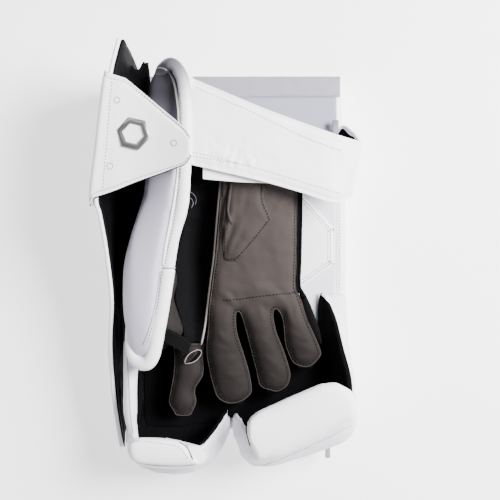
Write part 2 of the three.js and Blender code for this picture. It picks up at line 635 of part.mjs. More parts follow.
// The wrist strap is sewn to the board's far side, doubles back and runs under the thumb protector.
const strapRows = table(["xHigh", "xLow", "z", "yHigh", "yLow"],
  [58, 58, 32.2, 120, 74], [88, 86, 32.2, 114, 70], [102, 98, 38.5, 122, 66], [111, 105, 57, 113, 62],
  [115, 107, 76, 103, 58], [110, 103, 93, 102, 51], [88, 86, 101, 107.5, 46.5], [56, 56, 104.5, 118.2, 55.5],
  [26, 26, 107, 129, 64], [-7, -7, 108.5, 142.5, 71.8], [-38, -38, 108.5, 155.5, 79],
  [-42, -42, 108, 157, 80.3]);
function wristStrap() {
  const place = (u, v) => {
    const row = between(strapRows, u);
    return point(lerp(row.xLow, row.xHigh, v), lerp(row.yLow, row.yHigh, v), row.z);
  };
  add("wrist_strap", skin(place, 24, 2, -3), whiteLeather);
  const under = table(["x", "z", "low", "high"],
    [-30, 103.1, 67, 126], [0, 102.6, 64.5, 128], [28, 100.4, 63.5, 120]);
  const layer = (u, v) => {
    const row = between(under, u);
    return point(row.x, lerp(row.low, row.high, v), row.z);
  };
  add("strap_backing", skin(layer, 4, 1, -2), whiteLeather);
  // The keeper is sewn on top of the strap's end, beside the edge of the board.
  const keeper = shapeOf([[90.4, 114], [96.2, 114], [96.2, 127.2], [90.4, 127.2]]);
  add("strap_keeper", slab(keeper, 38.2, 42), whiteLeather);
}

// A guard's wall stands on a line round the fingers. Its section bellies out and ends in a rounded rim.
const guardColumns = ["x", "y", "out", "footZ", "belly", "bellyZ", "rim", "rimZ", "wall", "crest"];
const indexGuardRows = table(guardColumns,
  [-97, -79, 180, 32, 4, 55, 7.5, 79, 6, 13], [-97, -112, 180, 32, 4, 55, 7.5, 83, 6, 14],
  [-97, -142, 183, 32, 5, 54, 7, 84, 6, 13], [-97, -158, 195, 22, 7, 52, 5, 79, 7, 11],
  [-95, -168, 215, 9, 12, 50, 4, 75, 8, 10], [-88, -173, 240, 6, 24, 50, 11, 74.5, 9, 10],
  [-75, -175, 260, 6, 31, 50, 14, 74.5, 9, 10], [-55, -175, 272, 6, 33, 50, 14, 74.5, 9, 10],
  [-37, -173, 286, 6, 29, 50, 12, 75, 9, 8], [-20, -167, 302, 10, 15, 47, 1, 68, 7, 5],
  [-10, -155, 296, 22, 9, 42, 0, 55, 6, 5], [-9, -150, 290, 32, 2, 38, 0, 46, 5, 4]);
const fingerGuardRows = table(guardColumns,
  [-3, -152, 200, 32, 2, 38, 0, 46, 5, 4], [-1, -158, 205, 22, 4, 44, -3, 60, 6, 5],
  [4, -166, 208, 10, 9, 50, -2, 73, 7, 6], [12, -172, 216, 6, 14, 52, 2, 79, 8, 8],
  [20, -175, 236, 6, 24, 54, 11, 79.5, 9, 10], [32, -175, 262, 6, 25, 55, 10, 79.5, 9, 10],
  [55, -173, 281, 6, 19, 56, 5, 79.5, 9, 10], [78, -171, 291, 6, 13, 57, -1, 79.5, 9, 10],
  [93, -168, 305, 6, 11, 57, -2, 79.5, 9, 10], [101, -158, 330, 6, 11, 58, 3, 79.5, 9, 9],
  [103, -140, 352, 6, 9.5, 58, 4, 79.5, 8, 8], [103.4, -113, 360, 8, 6, 55, 2, 79.5, 7, 6],
  [103.9, -86, 360, 14, 2, 46, -5, 72, 7, 6], [104.3, -60, 360, 22, 0.5, 38, -11, 56, 9, 6],
  [104.5, -37, 360, 27, -1, 33, -20, 38, 12, 5]);

function sectionAt(row, ring) {
  const turn = (row.out * Math.PI) / 180;
  const out = point(Math.cos(turn), Math.sin(turn), 0);
  return ring.map(([r, z]) => point(row.x, row.y, z).addScaledVector(out, r));
}

function guardRing(row) {
  const half = row.crest / 2;
  return [
    [0, row.footZ], [row.belly * 0.8, lerp(row.footZ, row.bellyZ, 0.5)], [row.belly, row.bellyZ],
    [lerp(row.belly, row.rim, 0.55), lerp(row.bellyZ, row.rimZ - half, 0.6)],
    [row.rim, row.rimZ - half], [row.rim - half * 0.4, row.rimZ - half * 0.2], [row.rim - half, row.rimZ],
    [row.rim - half * 1.6, row.rimZ - half * 0.2], [row.rim - row.crest, row.rimZ - half],
    [lerp(row.belly - row.wall, row.rim - row.crest, 0.4), lerp(row.bellyZ, row.rimZ - half, 0.5)],
    [row.belly - row.wall, row.bellyZ], [row.belly * 0.6 - row.wall, lerp(row.footZ, row.bellyZ, 0.4)],
    [-row.wall, row.footZ],
  ];
}

// The black lining inside a guard, from its rim down to the floor.
function liningSheet(rows, from, to, clear, thick) {
  const line = (row, off) => {
    const inner = guardRing(row).slice(8);
    inner[0][1] -= 1;
    return sectionAt(row, inner.map(([r, z]) => [r - off, z]));
  };
  const at = rows.slice(from, to);
  return solidOf(between2(at.map((row) => line(row, clear)), at.map((row) => line(row, clear + thick))));
}

function guards() {
  const clear = 0.4;
  const boardOutline = bowedOutline(BOARD.side + clear, BOARD.length / 2 + clear, BOARD.bow, BOARD.corner);
  const panelTop = BACK + PANEL.thick + 2 * clear;
  const boardSpace = solidOf(slab(boardOutline, -10, BACK + clear))
    .add(brick([-PANEL.side - clear, PANEL.low - clear, 0], [PANEL.side + clear, 0, panelTop]));
  const middle = -6.6;
  const leftHalf = brick([-150, -260, -5], [middle - 0.2, 0, 150]);
  const rightHalf = brick([middle + 0.2, -260, -5], [150, 0, 150]);
  const stations = (rows, count) => steps(count).map((t) => between(rows, t));
  const shell = (rows) => solidOf(loft(rows.map((row) => sectionAt(row, guardRing(row)))));
  const indexAt = stations(indexGuardRows, 16);
  const fingerAt = stations(fingerGuardRows, 19);
  const floorLow = BACK + GAP + PANEL.thick + GAP;
  const floorOutline = [
    [-90, -165.6], [-17, -165.6], [-5, -156], [9, -165.6], [95, -165.6], [95, -82], [54, -82],
    [52, -52], [-86, -52], [-90, -60],
  ];
  const cloth = solidOf(slab(shapeOf(floorOutline), floorLow, floorLow + FLOOR_CLOTH));
  const inFloor = brick([-90.4, -166, 0], [95.4, -40, floorLow + FLOOR_CLOTH + GAP]);
  const standing = (solid, half) => geometryOf(solid.subtract(boardSpace).subtract(inFloor).intersect(half));
  add("index_guard", standing(shell(indexAt), leftHalf), whiteLeather);
  add("finger_guard", standing(shell(fingerAt), rightHalf), whiteLeather);
  const lined = (rows, from, to) => liningSheet(rows, from, to, 0.5, 1.5);
  add("index_lining", standing(lined(indexAt, 0, 15), leftHalf), blackCloth);
  add("finger_lining", standing(lined(fingerAt, 3, 19), rightHalf), blackCloth);
  add("guard_floor", geometryOf(cloth), blackCloth);
  const indexRoll = table(["x", "low", "high"],
    [-98, -180, -173], [-95, -187, -168.5], [-88, -191, -165.5], [-69, -192.5, -166], [-50, -193, -168.5],
    [-43, -192.5, -175.5], [-36, -191.5, -184.5], [-33, -190.5, -187]);
  const fingerRoll = table(["x", "low", "high"],
    [8.8, -161, -152], [12, -172, -146], [19, -186, -140.5], [37.5, -182.4, -132.5], [56.6, -173.5, -124],
    [76, -164.5, -115.5], [90, -157.5, -114.5], [103, -149.5, -121.5], [108.2, -143, -131]);
  // A stuffed roll whose section is a soft oblong at every station along x.
  const stuffed = (rows, low, high) => loft(rows.map((row, i) => {
    const end = i === 0 || i === rows.length - 1 ? 0.55 : 1;
    const middle = point(row.x, (row.low + row.high) / 2, (low + high) / 2);
    const [halfWide, halfHigh] = [(row.high - row.low) / 2, (high - low) / 2];
    return ringAt(middle, point(0, 1, 0), point(0, 0, 1), halfWide, halfHigh * end, 12, 3);
  }));
  add("index_roll", stuffed(indexRoll, 75.8, 91), whiteLeather);
  add("finger_roll", stuffed(fingerRoll, 80.2, 104), whiteLeather);
  const looseEnd = shapeOf([[84.6, -197], [89.4, -197], [89.4, -178], [84.6, -178]]);
  add("end_tab", slab(looseEnd, 22, 25), greyLeather);
}

board();
topBinding();
backPatch();
backhand();
stall("middle_stall", fingers.middle, SOCKET_END - 0.4, HAND_FLOOR, palmUnder, underWeb(-40, -84));
stall("ring_stall", fingers.ring, SOCKET_END - 0.4, HAND_FLOOR, palmUnder);
stall("pinky_stall", fingers.pinky, SOCKET_END - 0.4, HAND_FLOOR, palmUnder);
stall("index_stall", indexRows, SOCKET_END - 0.4, HAND_FLOOR, indexUnder, underWeb(-40, -84));
stall("thumb_stall", thumbRows, -22.2, HAND_FLOOR, thumbUnder);
palm();
palmEdge();
thumbAndIndex();
thumbBand();
padLining(thumbPad());
wing();
closingTab();
wristStrap();
guards();

export default glove;
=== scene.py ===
"""A hockey goalkeeper's blocking glove, lying on the front face of its board with the palm up.

The tables are in millimetres. +Y runs from the fingertips to the wrist, the thumb is at -X, and +Z is up.
"""

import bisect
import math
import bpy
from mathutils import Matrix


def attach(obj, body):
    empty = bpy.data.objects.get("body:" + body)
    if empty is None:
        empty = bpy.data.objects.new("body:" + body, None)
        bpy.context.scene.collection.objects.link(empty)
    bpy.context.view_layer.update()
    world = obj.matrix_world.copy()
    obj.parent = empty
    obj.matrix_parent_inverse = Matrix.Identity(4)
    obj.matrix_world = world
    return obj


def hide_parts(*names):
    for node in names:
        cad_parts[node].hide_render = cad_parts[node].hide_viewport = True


bl_info = {
    "name": "Blocking glove",
    "version": (1, 0, 0),
    "blender": (4, 5, 0),
    "location": "View3D > Sidebar > Glove",
    "description": "Builds the padded blocking glove piece by piece on its solid model",
    "category": "Add Mesh",
}

import bmesh
import bpy
from mathutils import Matrix, Vector, noise
from mathutils.bvhtree import BVHTree
from mathutils.kdtree import KDTree

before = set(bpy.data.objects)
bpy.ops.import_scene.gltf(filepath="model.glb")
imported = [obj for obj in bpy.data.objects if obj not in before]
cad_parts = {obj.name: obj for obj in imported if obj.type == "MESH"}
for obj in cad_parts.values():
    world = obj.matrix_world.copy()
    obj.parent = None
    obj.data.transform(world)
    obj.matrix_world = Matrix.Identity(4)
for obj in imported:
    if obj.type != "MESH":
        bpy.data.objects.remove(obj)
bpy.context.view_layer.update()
MM = 0.001

# The camera looks straight down from one metre above the board's back. A pixel is 0.96 mm there.
EYE = Vector((12, 3.84, 1030))
VIEW = {"pixel": 0.96, "middle": 250, "distance": 1000, "lens": 75, "sensor": 36}

# The board and what is sewn to it, as in the solid model.
BACK = 30
GAP = 0.3
LEATHER = 1.8
PANEL = {"side": 95, "low": -161, "top": 150.4, "face": 31.5, "thick": 1.2}
PATCH_HEIGHT = 33.3
FLOOR_HEIGHT = 33.2
PATCH = [(91.5, 25), (91.5, -10), (40, -46), (10, -46), (10, 81), (40, 81)]
FLOOR = [(-90, -165.6), (-17, -165.6), (-5, -156), (9, -165.6), (95, -165.6), (95, -82), (54, -82), (52, -52),
         (-86, -52), (-90, -60)]


def table(columns, *rows):
    """Rows with one value per named column."""
    return [dict(zip(columns.split(), row)) for row in rows]


def lerp(a, b, t):
    return a + (b - a) * t


def bell(x, width):
    """1 at x = 0, falling off smoothly within about a width on either side."""
    return math.exp(-((x / width) ** 2))


def between(rows, t):
    """A row between the rows of a table, at t from 0 to 1, on a smooth curve through every column."""
    last = len(rows) - 1
    i = max(0, min(int(t * last), last - 1))
    f = t * last - i
    a, b, c, d = (rows[max(0, min(last, k))] for k in (i - 1, i, i + 1, i + 2))
    made = {}
    for key in b:
        made[key] = b[key] + 0.5 * f * (c[key] - a[key] + f * (
            2 * a[key] - 5 * b[key] + 4 * c[key] - d[key] + f * (3 * (b[key] - c[key]) + d[key] - a[key])))
    return made


def across(rows, y, key):
    """A column's value where the table's y column, which falls from row to row, passes y, without a kink."""
    if y >= rows[0]["y"]:
        return rows[0][key]
    if y <= rows[-1]["y"]:
        return rows[-1][key]
    i = next(k for k in range(1, len(rows)) if rows[k]["y"] <= y)

    def slope(k):
        low, high = rows[max(0, k - 1)], rows[min(len(rows) - 1, k + 1)]
        return (high[key] - low[key]) / (high["y"] - low["y"])

    a, b = rows[i - 1], rows[i]
    span = b["y"] - a["y"]
    f = (y - a["y"]) / span
    rise = b[key] - a[key]
    start, end = slope(i - 1) * span - rise, rise - slope(i) * span
    return a[key] + f * rise + f * (1 - f) * ((1 - f) * start + f * end)


# The palm: the height of the underside of its leather, and the lobe of each finger.
EDGE = table("y z", (90, 80), (40, 78), (0, 76), (-48, 71), (-90, 66), (-140, 60))
HAND_LOBE = table("y x wide crown", (90, 22, 76, 5), (40, 20, 76, 7), (0, 18, 78, 7), (-40, 16, 84, 5),
                  (-58, 16, 88, 0))
MIDDLE = table("y x wide crown", (-38, -13, 26, 0), (-56, -13, 27, 5), (-72, -13, 27, 6), (-88, -11.5, 34, 7),
               (-104, -8, 36, 7), (-122, -4.5, 35, 5), (-133, -3.5, 28, 3), (-140, -3, 18, 0))
RING = table("y x wide crown", (-38, 18, 28, 0), (-57, 19, 29, 5), (-72, 22.5, 28, 6), (-90, 28.5, 31, 7),
             (-106, 33, 32, 7), (-120, 34.5, 27, 4), (-129, 35, 17, 0))
PINKY = table("y x wide crown", (-38, 47, 24, 0), (-58, 53, 22, 5), (-74, 57.4, 28, 6), (-88, 61.4, 31, 6),
              (-98, 62.5, 26, 4), (-106, 63, 16, 0))
INDEX = table("y x wide crown", (-48, -38.5, 25, 3), (-72, -39.5, 25, 4), (-88, -45.2, 28, 5),
              (-97, -45, 27, 5), (-112, -45.5, 28, 5), (-126, -50.5, 23, 5), (-138, -51, 26, 4),
              (-147, -50.5, 18, 1), (-151, -50.5, 12, 0))
INDEX_EDGE = table("y z", (-48, 64), (-97, 60), (-151, 55))
THUMB = table("y x wide crown", (34, -73, 16, 2), (0, -74, 26, 4), (-22, -72, 34, 5), (-40, -74, 32, 6),
              (-56, -71.5, 36, 7), (-71, -69, 38, 7), (-80, -72.5, 31, 6), (-89, -77, 18, 3),
              (-94, -79, 10, 0))
THUMB_EDGE = table("y z", (34, 72), (-22, 70), (-70, 69), (-94, 66))
VALLEY = table("y right left leftZ depth", (90, -9, -58, 88, 16), (49, -12.4, -60, 84, 18),
               (30, -14, -64.4, 78, 19), (0, -17, -60.4, 73, 18), (-22, -19.6, -54.4, 71, 14),
               (-40, -22, -57.4, 71, 11), (-56, -24.6, -52.9, 70, 9), (-71, -27, -49.4, 69, 6),
               (-82, -29.5, -49, 67, 3))
PALM = [(-10.5, 88), (-15.4, 49.5), (-17.2, 27.6), (-19.1, 4.8), (-22.7, -24.5), (-25.8, -48.3),
        (-26.6, -66), (-28.5, -88), (-26.6, -104), (-22.5, -122), (-18.4, -133), (-9.2, -138.7),
        (1.9, -137.8), (11.5, -131.5), (13.8, -124.5), (11.1, -108.4), (6.5, -92.4), (0.2, -71.6),
        (-0.6, -56), (1.4, -53), (3.9, -57), (8.3, -71.6), (12.9, -90), (17.1, -106.2), (21.2, -122.2),
        (31.3, -126.5), (37.8, -127.8), (46.5, -122.2), (49.6, -113), (47.5, -101.6), (42, -85.4),
        (36.5, -71.6), (33.6, -56), (36, -50.4), (41, -57.8), (42.8, -67), (43.9, -80.8), (46.5, -90),
        (51.6, -100.1), (60, -104.4), (68.5, -103.6), (77.2, -94.6), (77.1, -87.9), (71.4, -74.1),
        (64.4, -57.8), (59.8, -44), (57, -36), (54.6, -28.4), (55.2, 3.8), (55.7, 55.3), (56, 88)]
# Where the leather of the index finger and of the thumb starts, and where the black stalls start.
INDEX_TOP = -83
THUMB_TOP = 30
FINGER_START = -48.2
THUMB_START = -22.2
HEEL = [(-7, 87), (-11, 50), (-13, 27), (-12.5, -6.2), (1.1, -6.2), (32, 31), (23.8, 51), (25.6, 65.6),
        (26, 87)]
WELT = [(-3.2, 86), (-4.3, 69), (-7, 49), (-7.6, 38), (-4.5, 27)]
PIPING = [(58.3, 87), (58.3, 40), (57.7, 0), (57, -28), (60, -36)]
THUMB_SIDE = table("y x", (84, -12.7), (60, -15.7), (30, -18.6), (0, -21.1), (-24, -24.3), (-48, -27.4),
                   (-66, -29.5), (-84, -33))
BAND = table("x y z half", (-91.9, -65, 58, 6.5), (-91.9, -66, 70.5, 6.5), (-86.5, -68, 78.6, 6.5),
             (-71, -71.5, 82, 6.5), (-60, -76.5, 81, 6.5), (-50, -82, 78.5, 6.5), (-43.5, -87, 75, 6))

# The bright edge of the leather loop and two loose threads, as points of the view.
LOOP_EDGE = [(185, 363), (187.5, 356), (193, 351.5), (199.5, 350), (201, 353), (198, 358), (193, 362)]
LOOSE_THREADS = [[(189, 192), (193, 194), (196, 199), (195, 205)],
                 [(188, 197), (191.5, 199), (193, 203), (191, 208)]]

# The thumb protector, the wing, the tab and the strap.
PAD = table("y rightX rightZ leftX leftZ thick", (171, -50, 123, -70, 107, 9), (164, -45, 126, -75, 102, 12),
            (150, -41, 128, -78, 98, 15), (128, -39, 128.5, -79, 95, 16), (104, -38.7, 128, -79.5, 93, 16),
            (77, -40, 126, -81, 91, 16), (54, -41, 123, -84, 91, 16), (38, -43, 120.5, -89, 92, 16),
            (16, -49.5, 116, -96.5, 92.5, 16), (-10, -54, 111, -102.5, 93, 16), (-42, -59, 107, -103, 93, 16),
            (-64, -63, 105, -101, 93, 15), (-84, -66.5, 103, -97, 93, 14), (-97, -71, 101, -91, 94, 12),
            (-104, -77, 99, -85, 95, 9))
MOUNT = table("y lean footX topX topZ", (148, 25, -84, -82.5, 90), (136, 14, -85, -82, 90),
              (104, 0, -88, -81, 90), (54, 0, -93, -86, 88), (16, 0, -96.5, -97, 84),
              (-10, 0, -97, -101, 84), (-42, 0, -97, -101, 84), (-64, 0, -96.5, -99.5, 84))
PAD_ROLL = 6.5
ROLL_TALL = 0.82
PAD_STEP = -12
PAD_DISH = 9.5
# Where the roll turns round the end of the protector and tapers off under its other side.
ROLL_END = [(-71.8, -78, 102.3), (-74.8, -90, 100.8), (-79, -96.8, 99), (-85.5, -97.5, 96.8),
            (-91, -94, 94.5), (-95, -84, 92), (-97, -70, 90), (-98, -54, 89)]
# Seams of the protector, as points of the view.
PAD_STITCHES = [[(173, 72), (177.5, 82), (180.5, 97), (181.5, 115), (182, 140), (181, 165), (179.5, 182),
                 (177, 200), (173.5, 227), (169.5, 243), (166.5, 256), (165, 265)],
                [(162, 270), (160, 290), (157, 308), (153, 322), (150, 334), (147.5, 343)]]
PAD_CREASE = [(160, 272), (157.5, 290), (154.5, 308), (151, 322), (147, 335), (143, 345)]
PAD_PIPING = [(147, 77), (155, 70), (165, 68.5), (171.5, 75), (175.5, 87), (178, 103), (179, 117),
              (179.5, 140), (178.5, 165), (176.7, 182), (174.5, 198), (171.7, 214), (168, 233), (165, 248),
              (163, 266)]
WING = table("footY footZ rimX rimY rimZ", (166, 12, -103, 187, 128), (158, 6, -106, 176, 128.5),
             (145, 5, -110.5, 157, 128), (118, 5, -115, 126, 126.5), (88, 5, -119, 93, 124),
             (50, 5, -124.3, 51, 120), (32, 5, -121.5, 34, 115), (4, 5, -117.5, 4.7, 106),
             (-38, 5, -114.5, -41, 90), (-78, 5, -117.5, -84, 77), (-122, 5, -115.5, -140, 61),
             (-160, 6, -110.5, -182, 48))
WING_WALL = {"foot": 104.5, "shell": 3.2, "lining": 1.6, "cushion": 15}
TAB_FOLD = 0.262
TAB = table("x low high", (-95, 60, 152), (-80, 65.5, 139.5), (-65, 70.5, 126.5), (-52, 75, 115.3),
            (-44, 78, 108), (-39.5, 84, 101))
STRAP = table("xHigh xLow z yHigh yLow", (58, 58, 32.2, 120, 74), (88, 86, 32.2, 114, 70),
              (102, 98, 38.5, 122, 66), (111, 105, 57, 113, 62), (115, 107, 76, 103, 58),
              (110, 103, 93, 102, 51), (88, 86, 101, 107.5, 46.5), (56, 56, 104.5, 118.2, 55.5),
              (26, 26, 107, 129, 64), (-7, -7, 108.5, 142.5, 71.8), (-38, -38, 108.5, 155.5, 79),
              (-42, -42, 108, 157, 80.3))
STRAP_SEAMS = [[(196, 87), (202, 90), (250, 111), (302, 136), (341, 151)],
               [(192, 156), (228, 162), (256, 168), (341, 194)], [(192, 152), (214, 157), (237, 163)]]
BACKING = table("x z low high", (-30, 103.1, 67, 126), (0, 102.6, 64.5, 128), (28, 100.4, 63.5, 120))

# The guards round the fingers: where their walls stand, and the section of the wall there.
GUARD_COLUMNS = "x y out footZ belly bellyZ rim rimZ wall crest"
INDEX_GUARD = table(
    GUARD_COLUMNS, (-97, -79, 180, 32, 4, 55, 7.5, 79, 6, 13), (-97, -112, 180, 32, 4, 55, 7.5, 83, 6, 14),
    (-97, -142, 183, 32, 5, 54, 7, 84, 6, 13), (-97, -158, 195, 22, 7, 52, 5, 79, 7, 11),
    (-95, -168, 215, 9, 12, 50, 4, 75, 8, 10), (-88, -173, 240, 6, 24, 50, 11, 74.5, 9, 10),
    (-75, -175, 260, 6, 31, 50, 14, 74.5, 9, 10), (-55, -175, 272, 6, 33, 50, 14, 74.5, 9, 10),
    (-37, -173, 286, 6, 29, 50, 12, 75, 9, 8), (-20, -167, 302, 10, 15, 47, 1, 68, 7, 5),
    (-10, -155, 296, 22, 9, 42, 0, 55, 6, 5), (-9, -150, 290, 32, 2, 38, 0, 46, 5, 4))
FINGER_GUARD = table(
    GUARD_COLUMNS, (-3, -152, 200, 32, 2, 38, 0, 46, 5, 4), (-1, -158, 205, 22, 4, 44, -3, 60, 6, 5),
    (4, -166, 208, 10, 9, 50, -2, 73, 7, 6), (12, -172, 216, 6, 14, 52, 2, 79, 8, 8),
    (20, -175, 236, 6, 24, 54, 11, 79.5, 9, 10), (32, -175, 262, 6, 25, 55, 10, 79.5, 9, 10),
    (55, -173, 281, 6, 19, 56, 5, 79.5, 9, 10), (78, -171, 291, 6, 13, 57, -1, 79.5, 9, 10),
    (93, -168, 305, 6, 11, 57, -2, 79.5, 9, 10), (101, -158, 330, 6, 11, 58, 3, 79.5, 9, 9),
    (103, -140, 352, 6, 9.5, 58, 4, 79.5, 8, 8), (103.4, -113, 360, 8, 6, 55, 2, 79.5, 7, 6),
    (103.9, -86, 360, 14, 2, 46, -5, 72, 7, 6), (104.3, -60, 360, 22, 0.5, 38, -11, 56, 9, 6),
    (104.5, -37, 360, 27, -1, 33, -20, 38, 12, 5))

# Seams of the guards, as points of the view.
GUARD_EDGES = [[(193, 460), (187, 448), (179, 442)], [(245, 421), (247, 434), (251, 448), (256, 462)]]
GUARD_SEAMS = [[(129, 443), (137, 441), (150, 442), (165, 444), (176, 446), (183, 451), (188, 459)],
               [(262, 466), (285, 457), (310, 446), (335, 434), (352, 425)]]
GUARD_CREASES = [[(127, 342), (127.5, 362), (129, 385), (130, 410), (133, 434)],
                 [(134, 462), (150, 465), (175, 466), (196, 464)]]
CUP_SEAMS = [[(150, 398), (147, 410), (148, 424), (156, 433)],
             [(196, 396), (206, 401), (212, 412), (209, 424), (198, 434)]]
# Where each roll joins its guard: the middle and the turns in degrees that the joining leather spans, and the
# heights of its lower edge on the guard, of the line where both meet, and of its upper edge on the roll.
SKIRTS = table("name x y start end low meet high", ("index", -64, -168, 172, 352, 60, 76, 84.5),
               ("finger", 56, -150, 204, 372, 62, 80.5, 93))
# The black cloth that slopes from the top of the finger guard's side wall to the board.
SLOPE = table("y foot", (-37, 80), (-40, 78.5), (-48, 77), (-90, 77), (-126, 84))


def domed(rows, x, y):
    off = (x - across(rows, y, "x")) / (across(rows, y, "wide") / 2)
    return across(rows, y, "crown") * max(0.0, 1 - off * off)


def palm_under(x, y):
    return across(EDGE, y, "z") + max(domed(rows, x, y) for rows in (HAND_LOBE, MIDDLE, RING, PINKY))


def index_under(x, y):
    return across(INDEX_EDGE, y, "z") + domed(INDEX, x, y)


def thumb_under(x, y):
    return across(THUMB_EDGE, y, "z") + domed(THUMB, x, y)


def web_under(x, y):
    """The mesh between palm and thumb sags into a valley."""
    right, left = across(VALLEY, y, "right"), across(VALLEY, y, "left")
    t = max(0.0, min(1.0, (right - x) / (right - left)))
    straight = lerp(across(EDGE, y, "z") - 2, across(VALLEY, y, "leftZ"), t)
    return straight - across(VALLEY, y, "depth") * math.sin(math.pi * t ** 0.8) - 1.9


def pad_frame(row):
    right = Vector((row["rightX"], row["y"], row["rightZ"]))
    wide = right - Vector((row["leftX"], row["y"], row["leftZ"]))
    half = wide.length / 2
    wide.normalize()
    high = wide.cross(Vector((0, 1, 0))).normalized()
    return right, wide, high, half


def wing_at(u, v, inset):
    row = between(WING, u)
    low = WING_WALL["foot"] + WING_WALL["shell"]
    x = lerp(-low, row["rimX"], v) - 3 * math.sin(math.pi * v) + inset
    return Vector((x, lerp(row["footY"], row["rimY"], v), lerp(row["footZ"], row["rimZ"], v)))


RIM = [between(WING, k / 200) for k in range(201)]


def rim_at(y):
    """The wing's rim beside a place along y, which falls from one row of RIM to the next."""
    k = max(1, min(200, bisect.bisect_left([-row["rimY"] for row in RIM], -y)))
    a, b = RIM[k - 1], RIM[k]
    t = max(0, min(1, (a["rimY"] - y) / (a["rimY"] - b["rimY"])))
    return {key: lerp(a[key], b[key], t) for key in a}


def tab_at(u, v):
    """The tab hangs outside the wing, turns over its rim and lies across to the thumb protector."""
    drop, fold, thick, out_drop = 0.16, 0.3, 2.6, 30
    if u > fold:
        t = (u - fold) / (1 - fold)
        row = between(TAB, t)
        y = lerp(row["low"], row["high"], v)
        rim = rim_at(y)
        s = (row["x"] - rim["rimX"]) / (-40 - rim["rimX"])
        sag = 5 * math.sin(math.pi * min(1, s))
        return Vector((row["x"], y, lerp(rim["rimZ"] + thick + 1.5, 138.5, s) - sag))
    s = 0 if u < drop else (u - drop) / (fold - drop)
    y = lerp(lerp(43, 60, s * s), lerp(159.5, 152, s * s), v)
    rim = rim_at(y)
    if u < drop:
        t = u / drop
        return Vector((rim["rimX"] - thick - 1 - 1.5 * (1 - t), y, rim["rimZ"] - lerp(out_drop, 3, t)))
    turn = math.pi * (1 - min(1, s * 1.6) / 2)
    turned = Vector((rim["rimX"] + math.cos(turn) * 4.2, y, rim["rimZ"] + math.sin(turn) * 4.4 - 0.5))
    flat = max(0, (s - 0.625) / 0.375)
    x = TAB[0]["x"]
    t = (x - rim["rimX"]) / (-40 - rim["rimX"])
    return turned.lerp(Vector((x, y, lerp(rim["rimZ"] + 4.1, 138.5, t) - 5 * math.sin(math.pi * t))), flat)


def strap_at(u, v):
    row = between(STRAP, u)
    return Vector((lerp(row["xLow"], row["xHigh"], v), lerp(row["yLow"], row["yHigh"], v), row["z"]))


def guard_inner(row):
    """The inside of a guard's section, from its rim down to its foot, as distances out and heights."""
    half = row["crest"] / 2
    return [(row["rim"] - row["crest"], row["rimZ"] - half - 1),
            (lerp(row["belly"] - row["wall"], row["rim"] - row["crest"], 0.4),
             lerp(row["bellyZ"], row["rimZ"] - half, 0.5)),
            (row["belly"] - row["wall"], row["bellyZ"]),
            (row["belly"] * 0.6 - row["wall"], lerp(row["footZ"], row["bellyZ"], 0.4)),
            (-row["wall"], row["footZ"])]


def linear(colour):
    """An sRGB hex value as a linear colour."""
    parts = [((colour >> shift) & 255) / 255 for shift in (16, 8, 0)]
    return [p / 12.92 if p <= 0.04045 else ((p + 0.055) / 1.055) ** 2.4 for p in parts] + [1.0]


def swatch(name, description, colour):
    return bpy.props.FloatVectorProperty(
        name=name, description=description, default=linear(colour), size=4, min=0, max=1, subtype="COLOR")


def length(name, description, millimetres):
    return bpy.props.FloatProperty(
        name=name, description=description, default=millimetres * MM, min=0, precision=4, unit="LENGTH")


class GloveSizes(bpy.types.PropertyGroup):
    board_side: length("Board half width", "From the middle to a side at the ends of the board", 99.5)
    board_bow: length("Board bow", "How far each side bows out at its middle", 4.5)
    board_length: length("Board length", "Without the guards", 338)
    board_thick: length("Board thickness", "Foam with its cover", 30)
    stitch_pitch: length("Stitch pitch", "From one stitch to the next", 3.0)
    stitch_long: length("Stitch length", "One stitch", 2.2)
    thread: length("Thread", "Radius of the thread", 0.42)
    cloth_step: length("Cloth step", "How fine the grids of leather and cloth are", 2.2)


class GloveColours(bpy.types.PropertyGroup):
    white: swatch("White leather", "Coated synthetic leather", 0xF8F7FA)
    # Partly painted shade: darker than the white leather, as the protector's tilted face stands in shade.
    pad: swatch("Pad leather", "Lilac white leather of the thumb protector", 0xBFBBCA)
    grey: swatch("Grey binding", "Binding over the wrist end", 0x8C8892)
    nylon: swatch("Nylon", "Woven panel at the wrist end of the board's back", 0x918FA1)
    pale_nylon: swatch("Pale nylon", "The panel beside the palm", 0xE4E3EC)
    # Partly painted shade of the guards' shoulders, partly their own lilac tint.
    guard: swatch("Guard leather", "Lilac white leather of the finger guards", 0xE7E5ED)
    palm: swatch("Palm leather", "Taupe suede leather", 0x383230)
    # Partly painted shade: the fingers and thumb lie in the shade of the guards and the protector.
    finger: swatch("Finger leather", "The same leather where it is handled most", 0x1F1B1A)
    edge: swatch("Cut edge", "Light core of the leather at a cut edge", 0x8F8583)
    rim: swatch("Worn rim", "Rim of the palm leather outside its seams", 0x3C3633)
    black: swatch("Black cloth", "Stretch cloth and lining", 0x0A0A0C)
    shiny: swatch("Black coated cloth", "Lining of the wing", 0x08080A)
    elastic: swatch("Elastic", "Woven elastic band", 0x080809)
    silver: swatch("Silver", "Moulded badge", 0x8E8D8A)
    thread_light: swatch("Light thread", "Thread on white leather", 0x7C7A84)
    thread_dark: swatch("Dark thread", "Thread on palm leather", 0x0C0B0B)


def sizes():
    """The measures of the scene's panel."""
    return bpy.context.scene.glove_sizes


def colours():
    """The colours of the scene's panel."""
    return bpy.context.scene.glove_colours


def put(tree, kind, settings=None, sockets=None):
    """Adds a node, sets its properties, and gives each named socket a value or a link."""
    made = tree.nodes.new(kind)
    for key, value in (settings or {}).items():
        setattr(made, key, value)
    for key, value in (sockets or {}).items():
        if isinstance(value, bpy.types.NodeSocket):
            tree.links.new(value, made.inputs[key])
        else:
            made.inputs[key].default_value = value
    return made


